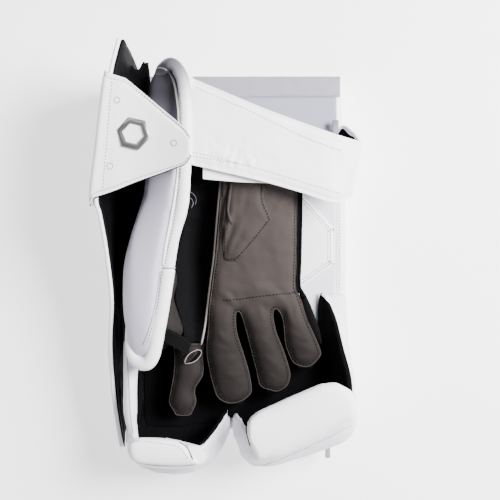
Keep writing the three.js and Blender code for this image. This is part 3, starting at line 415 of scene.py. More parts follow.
def finish_of(name, colour, roughness, layers, shade=0.82, patch=30, fade=None, **shader):
    """A material whose colour varies softly over patches of patch mm, with relief layers.

    A layer is (kind, size in mm, height in mm, part of the colour it darkens). kind is grain, crease, fibre,
    weave or holes. fade is (from y, to y, colour): the colour turns to that one between those places along y.
    """
    old = bpy.data.materials.get(name)
    if old:
        return old
    made = bpy.data.materials.new(name)
    made.use_nodes = True
    tree = made.node_tree
    tree.nodes.clear()
    place = put(tree, "ShaderNodeTexCoord").outputs["Object"]
    mottle = put(tree, "ShaderNodeTexNoise", None,
                 {"Vector": place, "Scale": 1 / (patch * MM), "Detail": 3.0})
    mix = put(tree, "ShaderNodeMix", {"data_type": "RGBA"})
    tree.links.new(mottle.outputs["Fac"], mix.inputs[0])
    mix.inputs[6].default_value = [c * shade for c in colour[:3]] + [1]
    mix.inputs[7].default_value = [min(1, c * (2 - shade)) for c in colour[:3]] + [1]
    tint, normal = mix.outputs[2], None
    if fade:
        # The fade serves a real change of tone and also painted shade.
        along = put(tree, "ShaderNodeSeparateXYZ", None, {"Vector": place}).outputs["Y"]
        amount = put(tree, "ShaderNodeMapRange", {"interpolation_type": "SMOOTHSTEP"},
                     {"Value": along, "From Min": fade[0] * MM, "From Max": fade[1] * MM})
        shade_and_tone_fade = put(tree, "ShaderNodeMix", {"data_type": "RGBA"})
        tree.links.new(amount.outputs["Result"], shade_and_tone_fade.inputs[0])
        tree.links.new(tint, shade_and_tone_fade.inputs[6])
        shade_and_tone_fade.inputs[7].default_value = fade[2]
        tint = shade_and_tone_fade.outputs[2]
    for kind, size, height, darken in layers:
        scale = 1 / (size * MM)
        if kind == "grain":
            cell = put(tree, "ShaderNodeTexVoronoi", {"feature": "DISTANCE_TO_EDGE"},
                       {"Vector": place, "Scale": scale, "Randomness": 1.0})
            relief = put(tree, "ShaderNodeMapRange", None,
                         {"Value": cell.outputs["Distance"], "From Max": 0.22})
            relief = relief.outputs["Result"]
        elif kind == "crease":
            relief = put(tree, "ShaderNodeTexNoise", {"noise_type": "RIDGED_MULTIFRACTAL"},
                         {"Vector": place, "Scale": scale, "Detail": 4.0}).outputs["Fac"]
            relief = put(tree, "ShaderNodeMapRange", None,
                         {"Value": relief, "From Min": 0.2, "From Max": 1.6, "To Min": 1.0,
                          "To Max": 0.0}).outputs["Result"]
        elif kind == "fibre":
            relief = put(tree, "ShaderNodeTexNoise", None,
                         {"Vector": place, "Scale": scale, "Detail": 5.0, "Roughness": 0.65}).outputs["Fac"]
        elif kind == "holes":
            cell = put(tree, "ShaderNodeTexVoronoi", {"feature": "F1"},
                       {"Vector": place, "Scale": scale, "Randomness": 0.25})
            relief = put(tree, "ShaderNodeMapRange", None,
                         {"Value": cell.outputs["Distance"], "From Min": 0.2,
                          "From Max": 0.5}).outputs["Result"]
        else:
            threads = [put(tree, "ShaderNodeTexWave", {"bands_direction": way, "wave_profile": "SIN"},
                           {"Vector": place, "Scale": scale / 2, "Distortion": 0.4,
                            "Detail": 1.0}).outputs["Fac"] for way in ("X", "Y")]
            relief = put(tree, "ShaderNodeMath", {"operation": "MAXIMUM"},
                         {0: threads[0], 1: threads[1]}).outputs[0]
        if darken:
            low = put(tree, "ShaderNodeMapRange", None,
                      {"Value": relief, "To Min": 1 - darken}).outputs["Result"]
            toned = put(tree, "ShaderNodeMix", {"data_type": "RGBA", "blend_type": "MULTIPLY"})
            toned.inputs[0].default_value = 1.0
            tree.links.new(tint, toned.inputs[6])
            tree.links.new(low, toned.inputs[7])
            tint = toned.outputs[2]
        if height:
            bump = put(tree, "ShaderNodeBump", None,
                       {"Height": relief, "Distance": height * MM, "Strength": 0.7})
            if normal:
                tree.links.new(normal, bump.inputs["Normal"])
            normal = bump.outputs["Normal"]
    rough = put(tree, "ShaderNodeMapRange", None,
                {"Value": mottle.outputs["Fac"], "To Min": roughness - 0.06, "To Max": roughness + 0.06})
    shading = put(tree, "ShaderNodeBsdfPrincipled", None,
                  {"Base Color": tint, "Roughness": rough.outputs["Result"], **shader})
    if normal:
        tree.links.new(normal, shading.inputs["Normal"])
    out = put(tree, "ShaderNodeOutputMaterial")
    tree.links.new(shading.outputs[0], out.inputs["Surface"])
    return made


def white_leather():
    # Polyurethane-coated microfibre, embossed with a fine grain: a soft even sheen and faint creases.
    return finish_of("coated_synthetic_leather", colours().white, 0.44,
                     [("grain", 1.1, 0.03, 0.0), ("crease", 22, 0.16, 0.02)], shade=0.985, patch=45,
                     **{"Coat Weight": 0.12, "Coat Roughness": 0.4})


def pad_leather():
    # The same coated microfibre in a lilac white, brushed a little softer where the thumb rests.
    # Its lilac grey is partly painted shade of its tilted face. The fade to near black towards the wrist end
    # is painted shade under the tab.
    return finish_of("soft_coated_leather", colours().pad, 0.5,
                     [("grain", 1.1, 0.03, 0.0), ("crease", 30, 0.2, 0.03)], shade=0.97, patch=45,
                     fade=(80, 145, linear(0x302E37)))


def roll_leather():
    # The white leather of the protector's roll, darkened towards the wrist end by painted shade.
    return finish_of("worn_roll_leather", colours().white, 0.44,
                     [("grain", 1.1, 0.03, 0.0), ("crease", 22, 0.16, 0.02)], shade=0.985, patch=45,
                     fade=(118, 172, linear(0x4A4853)))


def guard_leather():
    # The same coated microfibre on the guards, a little darker and lilac beside the white rolls: partly its
    # own tint, partly painted shade of the guards' shoulders.
    return finish_of("guard_coated_leather", colours().guard, 0.46,
                     [("grain", 1.1, 0.03, 0.0), ("crease", 26, 0.25, 0.03)], shade=0.975, patch=40)


def grey_leather():
    # The same coated microfibre, dyed grey, used as a binding.
    return finish_of("grey_coated_leather", colours().grey, 0.5,
                     [("grain", 1.1, 0.03, 0.0), ("crease", 14, 0.15, 0.03)], shade=0.97)


def nylon():
    # Plain-woven nylon of 0.5 mm threads, drawn at 1.2 mm so that the weave shows: matt with a faint check.
    # Beside the palm the panel is a paler cloth, and the two are joined under the strap.
    return finish_of("woven_nylon", colours().nylon, 0.72, [("weave", 1.2, 0.08, 0.1)],
                     shade=0.97, patch=60, fade=(76, 62, colours().pale_nylon))


def palm_suede():
    # Suede-finished synthetic goat leather: matt, with a short nap and fine creases that catch the light.
    # Towards the fingertips the colour fades to the finger colour, which is partly painted shade inside the
    # guards.
    return finish_of("suede_palm_leather", colours().palm, 0.8,
                     [("fibre", 1.4, 0.12, 0.12), ("crease", 16, 0.5, 0.22)], shade=0.86, patch=26,
                     fade=(-22, -84, colours().finger), **{"Specular IOR Level": 0.15})


def finger_suede():
    # The same suede on the fingers and thumb, darker and smoother: partly darkened where it is handled most,
    # partly by painted shade of the guards and the protector.
    return finish_of("worn_palm_leather", colours().finger, 0.74,
                     [("fibre", 1.4, 0.12, 0.12), ("crease", 12, 0.5, 0.25)], shade=0.86, patch=18,
                     **{"Specular IOR Level": 0.15})


def cut_edge():
    # The undyed core of the leather, which shows along a cut edge where the thumb has rubbed the dye away.
    return finish_of("raw_leather_edge", colours().rim, 0.85, [("fibre", 0.8, 0.1, 0.1)], shade=0.92,
                     fade=(-45, -74, colours().edge))


def worn_rim():
    # The suede rim outside the seams, rubbed paler along its cut.
    return finish_of("rubbed_leather_rim", colours().rim, 0.85, [("fibre", 0.8, 0.1, 0.2)],
                     shade=0.9, **{"Specular IOR Level": 0.15})


def black_cloth():
    # Brushed polyester lining: no shine, a soft nap.
    return finish_of("brushed_lining_cloth", colours().black, 0.92, [("fibre", 1.2, 0.15, 0.3)],
                     shade=0.8, patch=20, **{"Specular IOR Level": 0.04})


def stretch_mesh():
    # Knitted stretch mesh with 1.7 mm cells: small dark holes in a matt black net.
    return finish_of("knitted_stretch_mesh", colours().black, 0.85, [("holes", 1.7, 0.2, 0.6)],
                     shade=0.85, patch=24, **{"Specular IOR Level": 0.06})


def coated_black():
    # Tightly woven nylon with a coating: black with soft highlights on its creases.
    return finish_of("coated_lining_nylon", colours().shiny, 0.6,
                     [("weave", 1.0, 0.03, 0.1), ("crease", 26, 0.6, 0.0)], shade=0.85, patch=40,
                     **{"Specular IOR Level": 0.07})


def elastic():
    # Woven elastic, ribbed across its width.
    return finish_of("ribbed_elastic", colours().elastic, 0.8, [("weave", 1.5, 0.15, 0.3)], shade=0.9,
                     **{"Specular IOR Level": 0.06})


def silver():
    # Moulded plastic with a satin metal coating.
    return finish_of("satin_plated_plastic", colours().silver, 0.3, [("fibre", 0.6, 0.01, 0.04)],
                     shade=0.95, Metallic=0.9)


def light_thread():
    # Bonded nylon thread.
    return finish_of("pale_bonded_thread", colours().thread_light, 0.5, [("fibre", 0.3, 0.03, 0.08)],
                     shade=0.95, **{"Specular IOR Level": 0.2})


def dark_thread():
    # Bonded nylon thread.
    return finish_of("dark_bonded_thread", colours().thread_dark, 0.5, [("fibre", 0.3, 0.03, 0.08)],
                     shade=0.95, **{"Specular IOR Level": 0.2})


def piece(name, mesh, material, *nodes, slot=None, thick=0, bevel=0, levels=0):
    """The object of a finished bmesh. thick gives it a wall behind its faces, and bevel rounds its rims."""
    for face in mesh.faces:
        face.smooth = True
    data = bpy.data.meshes.new(name)
    mesh.to_mesh(data)
    mesh.free()
    data.materials.append(material)
    made = bpy.data.objects.new(name, data)
    bpy.context.scene.collection.objects.link(made)
    if thick:
        wall = made.modifiers.new("wall", "SOLIDIFY")
        wall.thickness = thick * MM
        wall.offset = -1
    if bevel:
        rim = made.modifiers.new("rim", "BEVEL")
        rim.width = bevel * MM
        rim.segments = 2
        rim.limit_method = "ANGLE"
        rim.angle_limit = math.radians(50)
    if levels:
        finer = made.modifiers.new("finer", "SUBSURF")
        finer.levels = levels
        finer.render_levels = levels
    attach(made, "root")
    if nodes:
        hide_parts(*nodes)
    return made


def cloth(made, held, *rests_on, long=None):
    """Returns the sheet unchanged."""
    if long:
        return made
    return made


def sheet(place, columns, rows, relief=None):
    """A grid laid on place(u, v), then moved along its own normals by relief(u, v). Both are in mm."""
    made = bmesh.new()
    made.loops.layers.uv.new("UVMap")
    bmesh.ops.create_grid(made, x_segments=columns, y_segments=rows, size=0.5, calc_uvs=True)
    where = {vert: (vert.co.x + 0.5, vert.co.y + 0.5) for vert in made.verts}
    for vert, (u, v) in where.items():
        vert.co = place(u, v) * MM
    made.normal_update()
    if relief:
        moves = {vert: vert.normal * relief(u, v) * MM for vert, (u, v) in where.items()}
        for vert, move in moves.items():
            vert.co += move
        made.normal_update()
    return made


def slab(place, columns, rows):
    """A closed sheet of varying thickness: place(u, v, side) gives its back at side 0 and its face at 1."""
    made = bmesh.new()
    bmesh.ops.create_grid(made, x_segments=columns, y_segments=rows, size=0.5)
    bmesh.ops.solidify(made, geom=made.faces[:], thickness=1)
    for vert in made.verts:
        vert.co = place(vert.co.x + 0.5, vert.co.y + 0.5, 0 if abs(vert.co.z) < 0.5 else 1) * MM
    bmesh.ops.recalc_face_normals(made, faces=made.faces[:])
    return made


def smooth_line(corners, step, closed=False):
    """Points a step apart along a smooth curve through the corners."""
    corners = [Vector(c) for c in corners]
    count = len(corners)
    dense = []
    spans = count if closed else count - 1
    for i in range(spans):
        a, b, c, d = (corners[k % count] if closed else corners[max(0, min(count - 1, k))]
                      for k in (i - 1, i, i + 1, i + 2))
        for k in range(12):
            f = k / 12
            bend, twist = 2 * a - 5 * b + 4 * c - d, 3 * (b - c) + d - a
            dense.append(b + 0.5 * f * ((c - a) + f * (bend + f * twist)))
    dense.append(dense[0] if closed else corners[-1])
    return evenly(dense, step, closed)


def evenly(line, step, closed=False):
    """Points a step apart along a line of points."""
    total = sum((q - p).length for p, q in zip(line, line[1:]))
    count = max(2, round(total / step))
    made, walked, k = [], 0, 0
    for i in range(count if closed else count + 1):
        want = total * i / count
        while k < len(line) - 2 and walked + (line[k + 1] - line[k]).length < want:
            walked += (line[k + 1] - line[k]).length
            k += 1
        span = (line[k + 1] - line[k]).length or 1
        made.append(line[k].lerp(line[k + 1], max(0, min(1, (want - walked) / span))))
    return made


def cut_sheet(outline, height, step, rim=1.1, relief=None):
    """Leather or cloth cut to an outline and laid on a height field, its rim turned down a little."""
    made = bmesh.new()
    circle = bmesh.ops.create_circle(made, cap_ends=True, segments=len(outline), radius=1)["verts"]
    for vert, place in zip(circle, outline):
        vert.co = Vector((place[0], place[1], 0))
    bmesh.ops.inset_region(made, faces=made.faces[:], thickness=rim, use_even_offset=True)
    for axis in (0, 1):
        low, high = min(p[axis] for p in outline), max(p[axis] for p in outline)
        for k in range(math.floor(low / step) + 1, math.ceil(high / step)):
            spot, way = Vector((0, 0, 0)), Vector((0, 0, 0))
            spot[axis], way[axis] = k * step, 1
            bmesh.ops.bisect_plane(made, geom=made.verts[:] + made.edges[:] + made.faces[:], plane_co=spot,
                                   plane_no=way)
    bmesh.ops.recalc_face_normals(made, faces=made.faces[:])
    if sum(face.normal.z for face in made.faces) < 0:
        bmesh.ops.reverse_faces(made, faces=made.faces[:])
    near = KDTree(len(outline) * 4)
    for i, place in enumerate(outline):
        other = outline[(i + 1) % len(outline)]
        for k in range(4):
            near.insert((lerp(place[0], other[0], k / 4), lerp(place[1], other[1], k / 4), 0), 4 * i + k)
    near.balance()
    for vert in made.verts:
        x, y, inside = vert.co.x, vert.co.y, near.find(vert.co)[2]
        z = height(x, y) - 0.8 * bell(inside, rim)
        if relief:
            z += relief(x, y, inside)
        vert.co = Vector((x, y, z)) * MM
    made.normal_update()
    return made


def ring_points(middle, wide, high, half_wide, half_high, sides, power):
    made = []
    for k in range(sides):
        c, s = math.cos(2 * math.pi * k / sides), math.sin(2 * math.pi * k / sides)
        bend = [math.copysign(abs(value) ** (2 / power), value) for value in (c, s)]
        made.append(middle + wide * (half_wide * bend[0]) + high * (half_high * bend[1]))
    return made


def loft(rings, open_start=False):
    """A skin through rings of points, closed at its far end, and at its start unless that is open."""
    made = bmesh.new()
    ring = bmesh.ops.create_circle(made, cap_ends=False, segments=len(rings[0]), radius=1)["verts"]
    for vert, place in zip(ring, rings[0]):
        vert.co = place * MM
    edges = made.edges[:]
    start = edges
    for places in rings[1:]:
        grown = bmesh.ops.extrude_edge_only(made, edges=edges)["geom"]
        fresh = [item for item in grown if isinstance(item, bmesh.types.BMVert)]
        edges = [item for item in grown if isinstance(item, bmesh.types.BMEdge)
                 and all(vert in fresh for vert in item.verts)]
        follow = {}
        for vert in fresh:
            twin = next(e.other_vert(vert) for e in vert.link_edges if e.other_vert(vert) not in fresh)
            follow[twin] = vert
        ring = [follow[vert] for vert in ring]
        for vert, place in zip(ring, places):
            vert.co = place * MM
    bmesh.ops.contextual_create(made, geom=edges)
    if not open_start:
        bmesh.ops.contextual_create(made, geom=start)
    bmesh.ops.recalc_face_normals(made, faces=made.faces[:])
    return made


def tube_along(places, radius, sides=8, power=2.0, tall=1.0):
    """A round bead, cord or piping along points in mm. radius is a number or a function of t from 0 to 1."""
    rings = []
    for i, place in enumerate(places):
        way = (places[min(i + 1, len(places) - 1)] - places[max(i - 1, 0)]).normalized()
        wide = way.cross(Vector((0, 0, 1)))
        wide = wide.normalized() if wide.length > 1e-3 else Vector((1, 0, 0))
        high = wide.cross(way).normalized()
        t = i / (len(places) - 1)
        r = radius(t) if callable(radius) else radius
        r *= math.sqrt(max(0.1, 1 - max(0, 1 - 2 * min(i, len(places) - 1 - i) / 2) ** 2))
        rings.append(ring_points(place, wide, high, r, r * tall, sides, power))
    return loft(rings)


def stitches(name, lines, material, pitch=None, wide=1):
    """Stitches along lines of (place, normal) in mm, each a short bead of thread lying on the surface."""
    pitch = pitch or sizes().stitch_pitch / MM
    half, radius = sizes().stitch_long / MM / 2, sizes().thread / MM * wide
    made = bmesh.new()
    for line in lines:
        places = [place for place, normal in line]
        total = sum((q - p).length for p, q in zip(places, places[1:]))
        count = max(1, int(total / pitch))
        walked, k = 0, 0
        for i in range(count):
            want = (i + 0.5) * total / count
            while k < len(places) - 2 and walked + (places[k + 1] - places[k]).length < want:
                walked += (places[k + 1] - places[k]).length
                k += 1
            span = places[k + 1] - places[k]
            if span.length < 1e-6 or span.length > 12:
                continue
            middle = places[k] + span * ((want - walked) / span.length)
            normal = line[k][1]
            side = normal.cross(span).normalized()
            turn = Matrix((span.normalized(), side, normal)).transposed().to_4x4()
            size = Matrix.Diagonal((half * MM, radius * MM, radius * MM, 1))
            place = Matrix.Translation((middle + normal * radius * 0.4) * MM)
            bmesh.ops.create_icosphere(made, subdivisions=1, radius=1, matrix=place @ turn @ size)
    return piece(name, made, material)


def tree_of(carriers):
    """Search trees of the finished surfaces of some pieces."""
    bpy.context.view_layer.update()
    graph = bpy.context.evaluated_depsgraph_get()
    return [BVHTree.FromObject(made, graph) for made in carriers]


def seen(pixels, carriers, step=1.5, closed=False):
    """A line through points of the 500 x 500 view, laid on the first surface that the camera meets there."""
    trees = tree_of(carriers)
    eye, made = EYE * MM, []
    for spot in smooth_line([(x, y, 0) for x, y in pixels], step, closed):
        aim = Vector((EYE.x + (spot.x - VIEW["middle"]) * VIEW["pixel"],
                      EYE.y + (VIEW["middle"] - spot.y) * VIEW["pixel"], BACK)) * MM
        way = (aim - eye).normalized()
        hits = [hit for hit in (tree.ray_cast(eye, way) for tree in trees) if hit[0] is not None]
        if hits:
            place, normal, _, _ = min(hits, key=lambda hit: hit[3])
            made.append((place / MM, normal if normal.z > 0 else -normal))
    return made


def evened(places, passes=4):
    """A line of places with its small steps smoothed out."""
    for _ in range(passes):
        inner = [(a + b * 2 + c) / 4 for a, b, c in zip(places, places[1:], places[2:])]
        places = places[:1] + inner + places[-1:]
    return places


def on_sheet(place, line):
    """Places and normals along a line of (u, v) on a parametric sheet."""
    made = []
    for u, v in line:
        here = place(u, v)
        du = place(min(1, u + 0.004), v) - place(max(0, u - 0.004), v)
        dv = place(u, min(1, v + 0.01)) - place(u, max(0, v - 0.01))
        normal = du.cross(dv).normalized()
        made.append((here, normal))
    return made


def rippled(x, y, z, size, depth):
    return depth * noise.noise(Vector((x, y, z)) / size)


def node_mesh(*names):
    """The solids of some nodes, merged into one mesh."""
    made = bmesh.new()
    for name in names:
        made.from_mesh(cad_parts[name].data)
    bmesh.ops.remove_doubles(made, verts=made.verts[:], dist=1e-6)
    return made


def softened(names, voxel, passes, relief=None):
    """A node's solid as one fine even skin, its corners rounded by smoothing."""
    data = bpy.data.meshes.new("solid")
    start = node_mesh(*names)
    start.to_mesh(data)
    start.free()
    rough = bpy.data.objects.new("solid", data)
    bpy.context.scene.collection.objects.link(rough)
    fine = rough.modifiers.new("even", "REMESH")
    fine.mode = "VOXEL"
    fine.voxel_size = voxel * MM
    bpy.context.view_layer.update()
    evaluated = rough.evaluated_get(bpy.context.evaluated_depsgraph_get())
    made = bmesh.new()
    made.from_mesh(evaluated.to_mesh())
    evaluated.to_mesh_clear()
    bpy.data.objects.remove(rough)
    bpy.data.meshes.remove(data)
    for _ in range(passes):
        bmesh.ops.smooth_vert(made, verts=made.verts[:], factor=0.5, use_axis_x=True, use_axis_y=True,
                              use_axis_z=True)
    made.normal_update()
    if relief:
        moves = {vert: vert.normal * relief(*(vert.co / MM)) * MM for vert in made.verts}
        for vert, move in moves.items():
            vert.co += move
        made.normal_update()
    return made


def swollen(mesh, cap, pressure=4.0):
    """Blows a closed skin up as cloth over a filling, and lets no point move further than cap mm."""
    data = bpy.data.meshes.new("filling")
    mesh.to_mesh(data)
    made = bpy.data.objects.new("filling", data)
    bpy.context.scene.collection.objects.link(made)
    sim = made.modifiers.new("cloth", "CLOTH")
    sim.settings.use_pressure = True
    sim.settings.uniform_pressure_force = pressure
    sim.settings.effector_weights.gravity = 0
    sim.settings.tension_stiffness = 15
    sim.settings.bending_stiffness = 0.5
    sim.settings.quality = 5
    sim.collision_settings.use_collision = False
    scene = bpy.context.scene
    sim.point_cache.frame_start, sim.point_cache.frame_end = 1, 20
    for step in range(1, 21):
        scene.frame_set(step)
    evaluated = made.evaluated_get(bpy.context.evaluated_depsgraph_get())
    after = evaluated.to_mesh()
    mesh.verts.ensure_lookup_table()
    for vert, end in zip(mesh.verts, after.vertices):
        move = end.co - vert.co
        if move.length > cap * MM:
            move = move.normalized() * cap * MM
        vert.co += move
    evaluated.to_mesh_clear()
    bpy.data.objects.remove(made)
    bpy.data.meshes.remove(data)
    scene.frame_set(1)
    mesh.normal_update()
    return mesh


def board_outline(along=3.0):
    """The board's outline, whose sides bow out between rounded corners."""
    size = sizes()
    side, bow, corner = size.board_side / MM, size.board_bow / MM, 12
    reach = size.board_length / MM / 2 - corner
    count = int(2 * reach / along)
    turns = [math.radians(90 * k / 8) for k in range(1, 8)]
    upper = [(side - corner + corner * math.cos(turn), reach + corner * math.sin(turn)) for turn in turns]
    flank = [(side + bow * (1 - (2 * k / count - 1) ** 2), lerp(-reach, reach, k / count))
             for k in range(count + 1)]
    half = [(x, -y) for x, y in reversed(upper)] + flank + upper
    return half + [(-x, y) for x, y in reversed(half)]


class GLOVE_OT_stage(bpy.types.Operator):
    """Builds the pale floor, the soft studio lights and the camera"""

    bl_idname = "glove.stage"
    bl_label = "Stage"

    def execute(self, context):
        scene = context.scene
        floor = bmesh.new()
        bmesh.ops.create_grid(floor, x_segments=1, y_segments=1, size=4)
        data = bpy.data.meshes.new("floor")
        floor.to_mesh(data)
        floor.free()
        made = bpy.data.objects.new("floor", data)
        scene.collection.objects.link(made)
        # Matt white paper, very slightly uneven.
        glow = {"Emission Color": (1, 1, 1, 1), "Emission Strength": 1.1}
        paper = finish_of("matt_paper", linear(0xF6F6F7), 0.9, [("fibre", 6, 0.05, 0.0)], shade=0.99, **glow)
        data.materials.append(paper)
        world = bpy.data.worlds.new("studio")
        scene.world = world
        world.use_nodes = True
        world.node_tree.nodes["Background"].inputs[0].default_value = (0.95, 0.96, 1.0, 1)
        world.node_tree.nodes["Background"].inputs[1].default_value = 0.38
        for name, place, size, power in (("key", (0.95, 0.35, 1.15), 0.7, 102),
                                         ("fill", (-0.5, 1.0, 1.2), 0.9, 7),
                                         ("front", (0.3, -1.0, 1.2), 0.9, 3)):
            light = bpy.data.lights.new(name, "AREA")
            light.size = size
            light.energy = power
            lamp = bpy.data.objects.new(name, light)
            lamp.location = place
            lamp.rotation_euler = (-Vector(place)).to_track_quat("-Z", "Y").to_euler()
            scene.collection.objects.link(lamp)
        lens = bpy.data.cameras.new("camera")
        lens.lens = VIEW["lens"]
        lens.sensor_width = VIEW["sensor"]
        lens.clip_start = 0.05
        camera = bpy.data.objects.new("camera", lens)
        camera.location = EYE * MM
        scene.collection.objects.link(camera)
        scene.camera = camera
        return {"FINISHED"}


class GLOVE_OT_board(bpy.types.Operator):
    """Builds the board, its nylon back, the binding over its wrist end and the white patch"""

    bl_idname = "glove.board"
    bl_label = "Board"

    def execute(self, context):
        size = sizes()
        end = size.board_length / MM / 2
        outline = board_outline()
        made = bmesh.new()
        circle = bmesh.ops.create_circle(made, cap_ends=True, segments=len(outline), radius=1)["verts"]
        for vert, (x, y) in zip(circle, outline):
            vert.co = Vector((x, y, 0)) * MM
        grown = bmesh.ops.extrude_face_region(made, geom=made.faces[:])["geom"]
        top = [item for item in grown if isinstance(item, bmesh.types.BMVert)]
        bmesh.ops.translate(made, verts=top, vec=(0, 0, size.board_thick))
        if not any(abs(face.calc_center_median().z) < 1e-6 for face in made.faces):
            rim = [edge for edge in made.edges if edge.is_boundary]
            bmesh.ops.contextual_create(made, geom=rim)
        rims = [edge for edge in made.edges if abs(edge.verts[0].co.z - edge.verts[1].co.z) < 1e-6
                and len(edge.link_faces) == 2 and edge.calc_face_angle() > 1]
        bmesh.ops.bevel(made, geom=rims, offset=5 * MM, offset_type="OFFSET", segments=5, profile=0.5,
                        affect="EDGES", material=-1)
        bmesh.ops.recalc_face_normals(made, faces=made.faces[:])
        piece("board_cover", made, white_leather(), "board", slot="white_leather")
        side, low, top, face = PANEL["side"], PANEL["low"], PANEL["top"], PANEL["face"]
        panel = sheet(lambda u, v: Vector((lerp(-side, side, u), lerp(low, top, v), face)), 60, 100,
                      lambda u, v: rippled(u * 190, v * 311, 0, 22, 0.2) - 0.2)
        panel = piece("nylon_back", panel, nylon(), "back_panel", slot="nylon", thick=1.0)
        cloth(panel, "laid", "board_cover")
        profile = [Vector((0, end - 18.5, 31.9)), Vector((0, end - 17.5, 32.3)), Vector((0, end - 1, 32.3)),
                   Vector((0, end + 1.2, 31.2)), Vector((0, end + 2, 28.6)), Vector((0, end + 2, 5))]

        def binding_at(u, v):
            k = min(int(v * 5), 4)
            spot = profile[k].lerp(profile[k + 1], v * 5 - k)
            return Vector((lerp(-98.5, 98.5, u), spot.y, spot.z))

        binding = sheet(binding_at, 90, 40, lambda u, v: rippled(u * 197, v * 45, 3, 9, 0.3) - 0.3)
        binding = piece("grey_binding", binding, grey_leather(), "top_binding", slot="grey_leather",
                        thick=1.5, bevel=0.4)
        cloth(binding, "folded", "board_cover", long=197)

        def quilted(x, y, inside):
            return 0.5 * (1 - bell(inside, 6)) - 0.4 * bell(inside - 3.2, 1.2)

        patch = cut_sheet(smooth_line(corners_kept(PATCH), 2, closed=True), lambda x, y: PATCH_HEIGHT, 3,
                          relief=quilted)
        patch = piece("white_patch", patch, white_leather(), "back_patch", slot="white_leather", thick=1.4,
                      bevel=0.3)
        cloth(patch, "laid", "nylon_back")
        up = Vector((0, 0, 1))
        lines = []
        for inset in (2.4, 5.0):
            line = smooth_line(corners_kept(shrunk(PATCH, inset)), 2, closed=True)
            lines.append([(Vector((p.x, p.y, 33.5)), up) for p in line + line[:1]])
        sides = [(x, y) for x, y in outline if x > 0 and abs(y) < 150]
        for off in (6.2, 8.4):
            lines.append([(Vector((x - off, y, 30.1)), up) for x, y in sides])
        for way in (-1, 1):
            lines.append([(Vector((way * (x + 0.1), y, 22)), Vector((way, 0, 0))) for x, y in sides])
        stitches("board_stitches", lines, light_thread())
        return {"FINISHED"}


def corners_kept(corners, near=1.5):
    """Doubles each corner, so that a smooth line stays straight between corners."""
    made = []
    for i, here in enumerate(corners):
        before, after = Vector(corners[i - 1]), Vector(corners[(i + 1) % len(corners)])
        here = Vector(here)
        for other in (before, after):
            made.append(tuple(here + (other - here).normalized() * near))
    return made


def inset_line(corners, inset, step=2.0):
    """A closed line of points a distance inside an outline that runs clockwise or anticlockwise."""
    line = smooth_line(corners, step, closed=True)
    area = sum(a.x * b.y - b.x * a.y for a, b in zip(line, line[1:] + line[:1]))
    turn = 1 if area > 0 else -1
    made = []
    for i, here in enumerate(line):
        way = (line[(i + 1) % len(line)] - line[i - 1]).normalized()
        made.append(Vector((here.x - way.y * inset * turn, here.y + way.x * inset * turn)))
    return made


def shrunk(corners, inset):
    """The corners of a straight-sided outline, moved in by inset."""
    corners = [Vector(corner) for corner in corners]
    area = sum(a.x * b.y - b.x * a.y for a, b in zip(corners, corners[1:] + corners[:1]))
    turn = math.copysign(1, area)
    made = []
    for i, here in enumerate(corners):
        after = (corners[(i + 1) % len(corners)] - here).normalized()
        way = ((here - corners[i - 1]).normalized() + after).normalized()
        made.append(here + Vector((-way.y, way.x)) * turn * inset / way.dot(after))
    return made


def stall_mesh(rows, start, under, grow=-1.75):
    """A finger's black back and sides: a tube that stops below its leather."""
    kept = [row for row in rows if row["y"] < start]
    first = {"y": start, "x": across(rows, start, "x"), "wide": across(rows, start, "wide"), "crown": 0}
    body = [first] + kept
    rings = []
    for k in range(45):
        row = between(body, k / 44)
        half = max(0.8, row["wide"] / 2 + grow)
        middle = Vector((row["x"], row["y"], 62))
        ring = ring_points(middle, Vector((1, 0, 0)), Vector((0, 0, 1)), half, 28, 36, 4)
        webs = [web_under(p.x, p.y) - 0.8 if p.y > -84 and p.x < -20 else 200 for p in ring]
        tops = [min(p.z, under(p.x, p.y) - 0.3, web) for p, web in zip(ring, webs)]
        rings.append([Vector((p.x, p.y, z - 0.3 + rippled(p.x, p.y, z, 9, 0.35)))
                      for p, z in zip(ring, tops)])
    return loft(rings, open_start=True)


class GLOVE_OT_hand(bpy.types.Operator):
    """Builds the black pocket for the hand and the backs and sides of the five fingers"""

    bl_idname = "glove.hand"
    bl_label = "Hand and finger backs"

    def execute(self, context):
        made = softened(["backhand"], 1.7, 3, lambda x, y, z: rippled(x, y, z, 12, 0.5))
        piece("hand_pocket_cloth", made, black_cloth(), "backhand", slot="black_cloth")
        for name, rows, start, under in (("middle_stall", MIDDLE, FINGER_START, palm_under),
                                         ("ring_stall", RING, FINGER_START, palm_under),
                                         ("pinky_stall", PINKY, FINGER_START, palm_under),
                                         ("index_stall", INDEX, FINGER_START, index_under),
                                         ("thumb_stall", THUMB, THUMB_START, thumb_under)):
            piece(name + "_cloth", stall_mesh(rows, start, under), black_cloth(), name, slot="black_cloth",
                  thick=2)
        return {"FINISHED"}


def sides_of(rows, top):
    """The outline of a finger's leather, from its start at y = top down to the tip."""
    first = {"y": top, "x": across(rows, top, "x"), "wide": across(rows, top, "wide")}
    kept = [first] + [row for row in rows if row["y"] < top]
    left = [(row["x"] - row["wide"] / 2, row["y"]) for row in kept]
    right = [(row["x"] + row["wide"] / 2, row["y"]) for row in kept]
    return left + right[::-1]


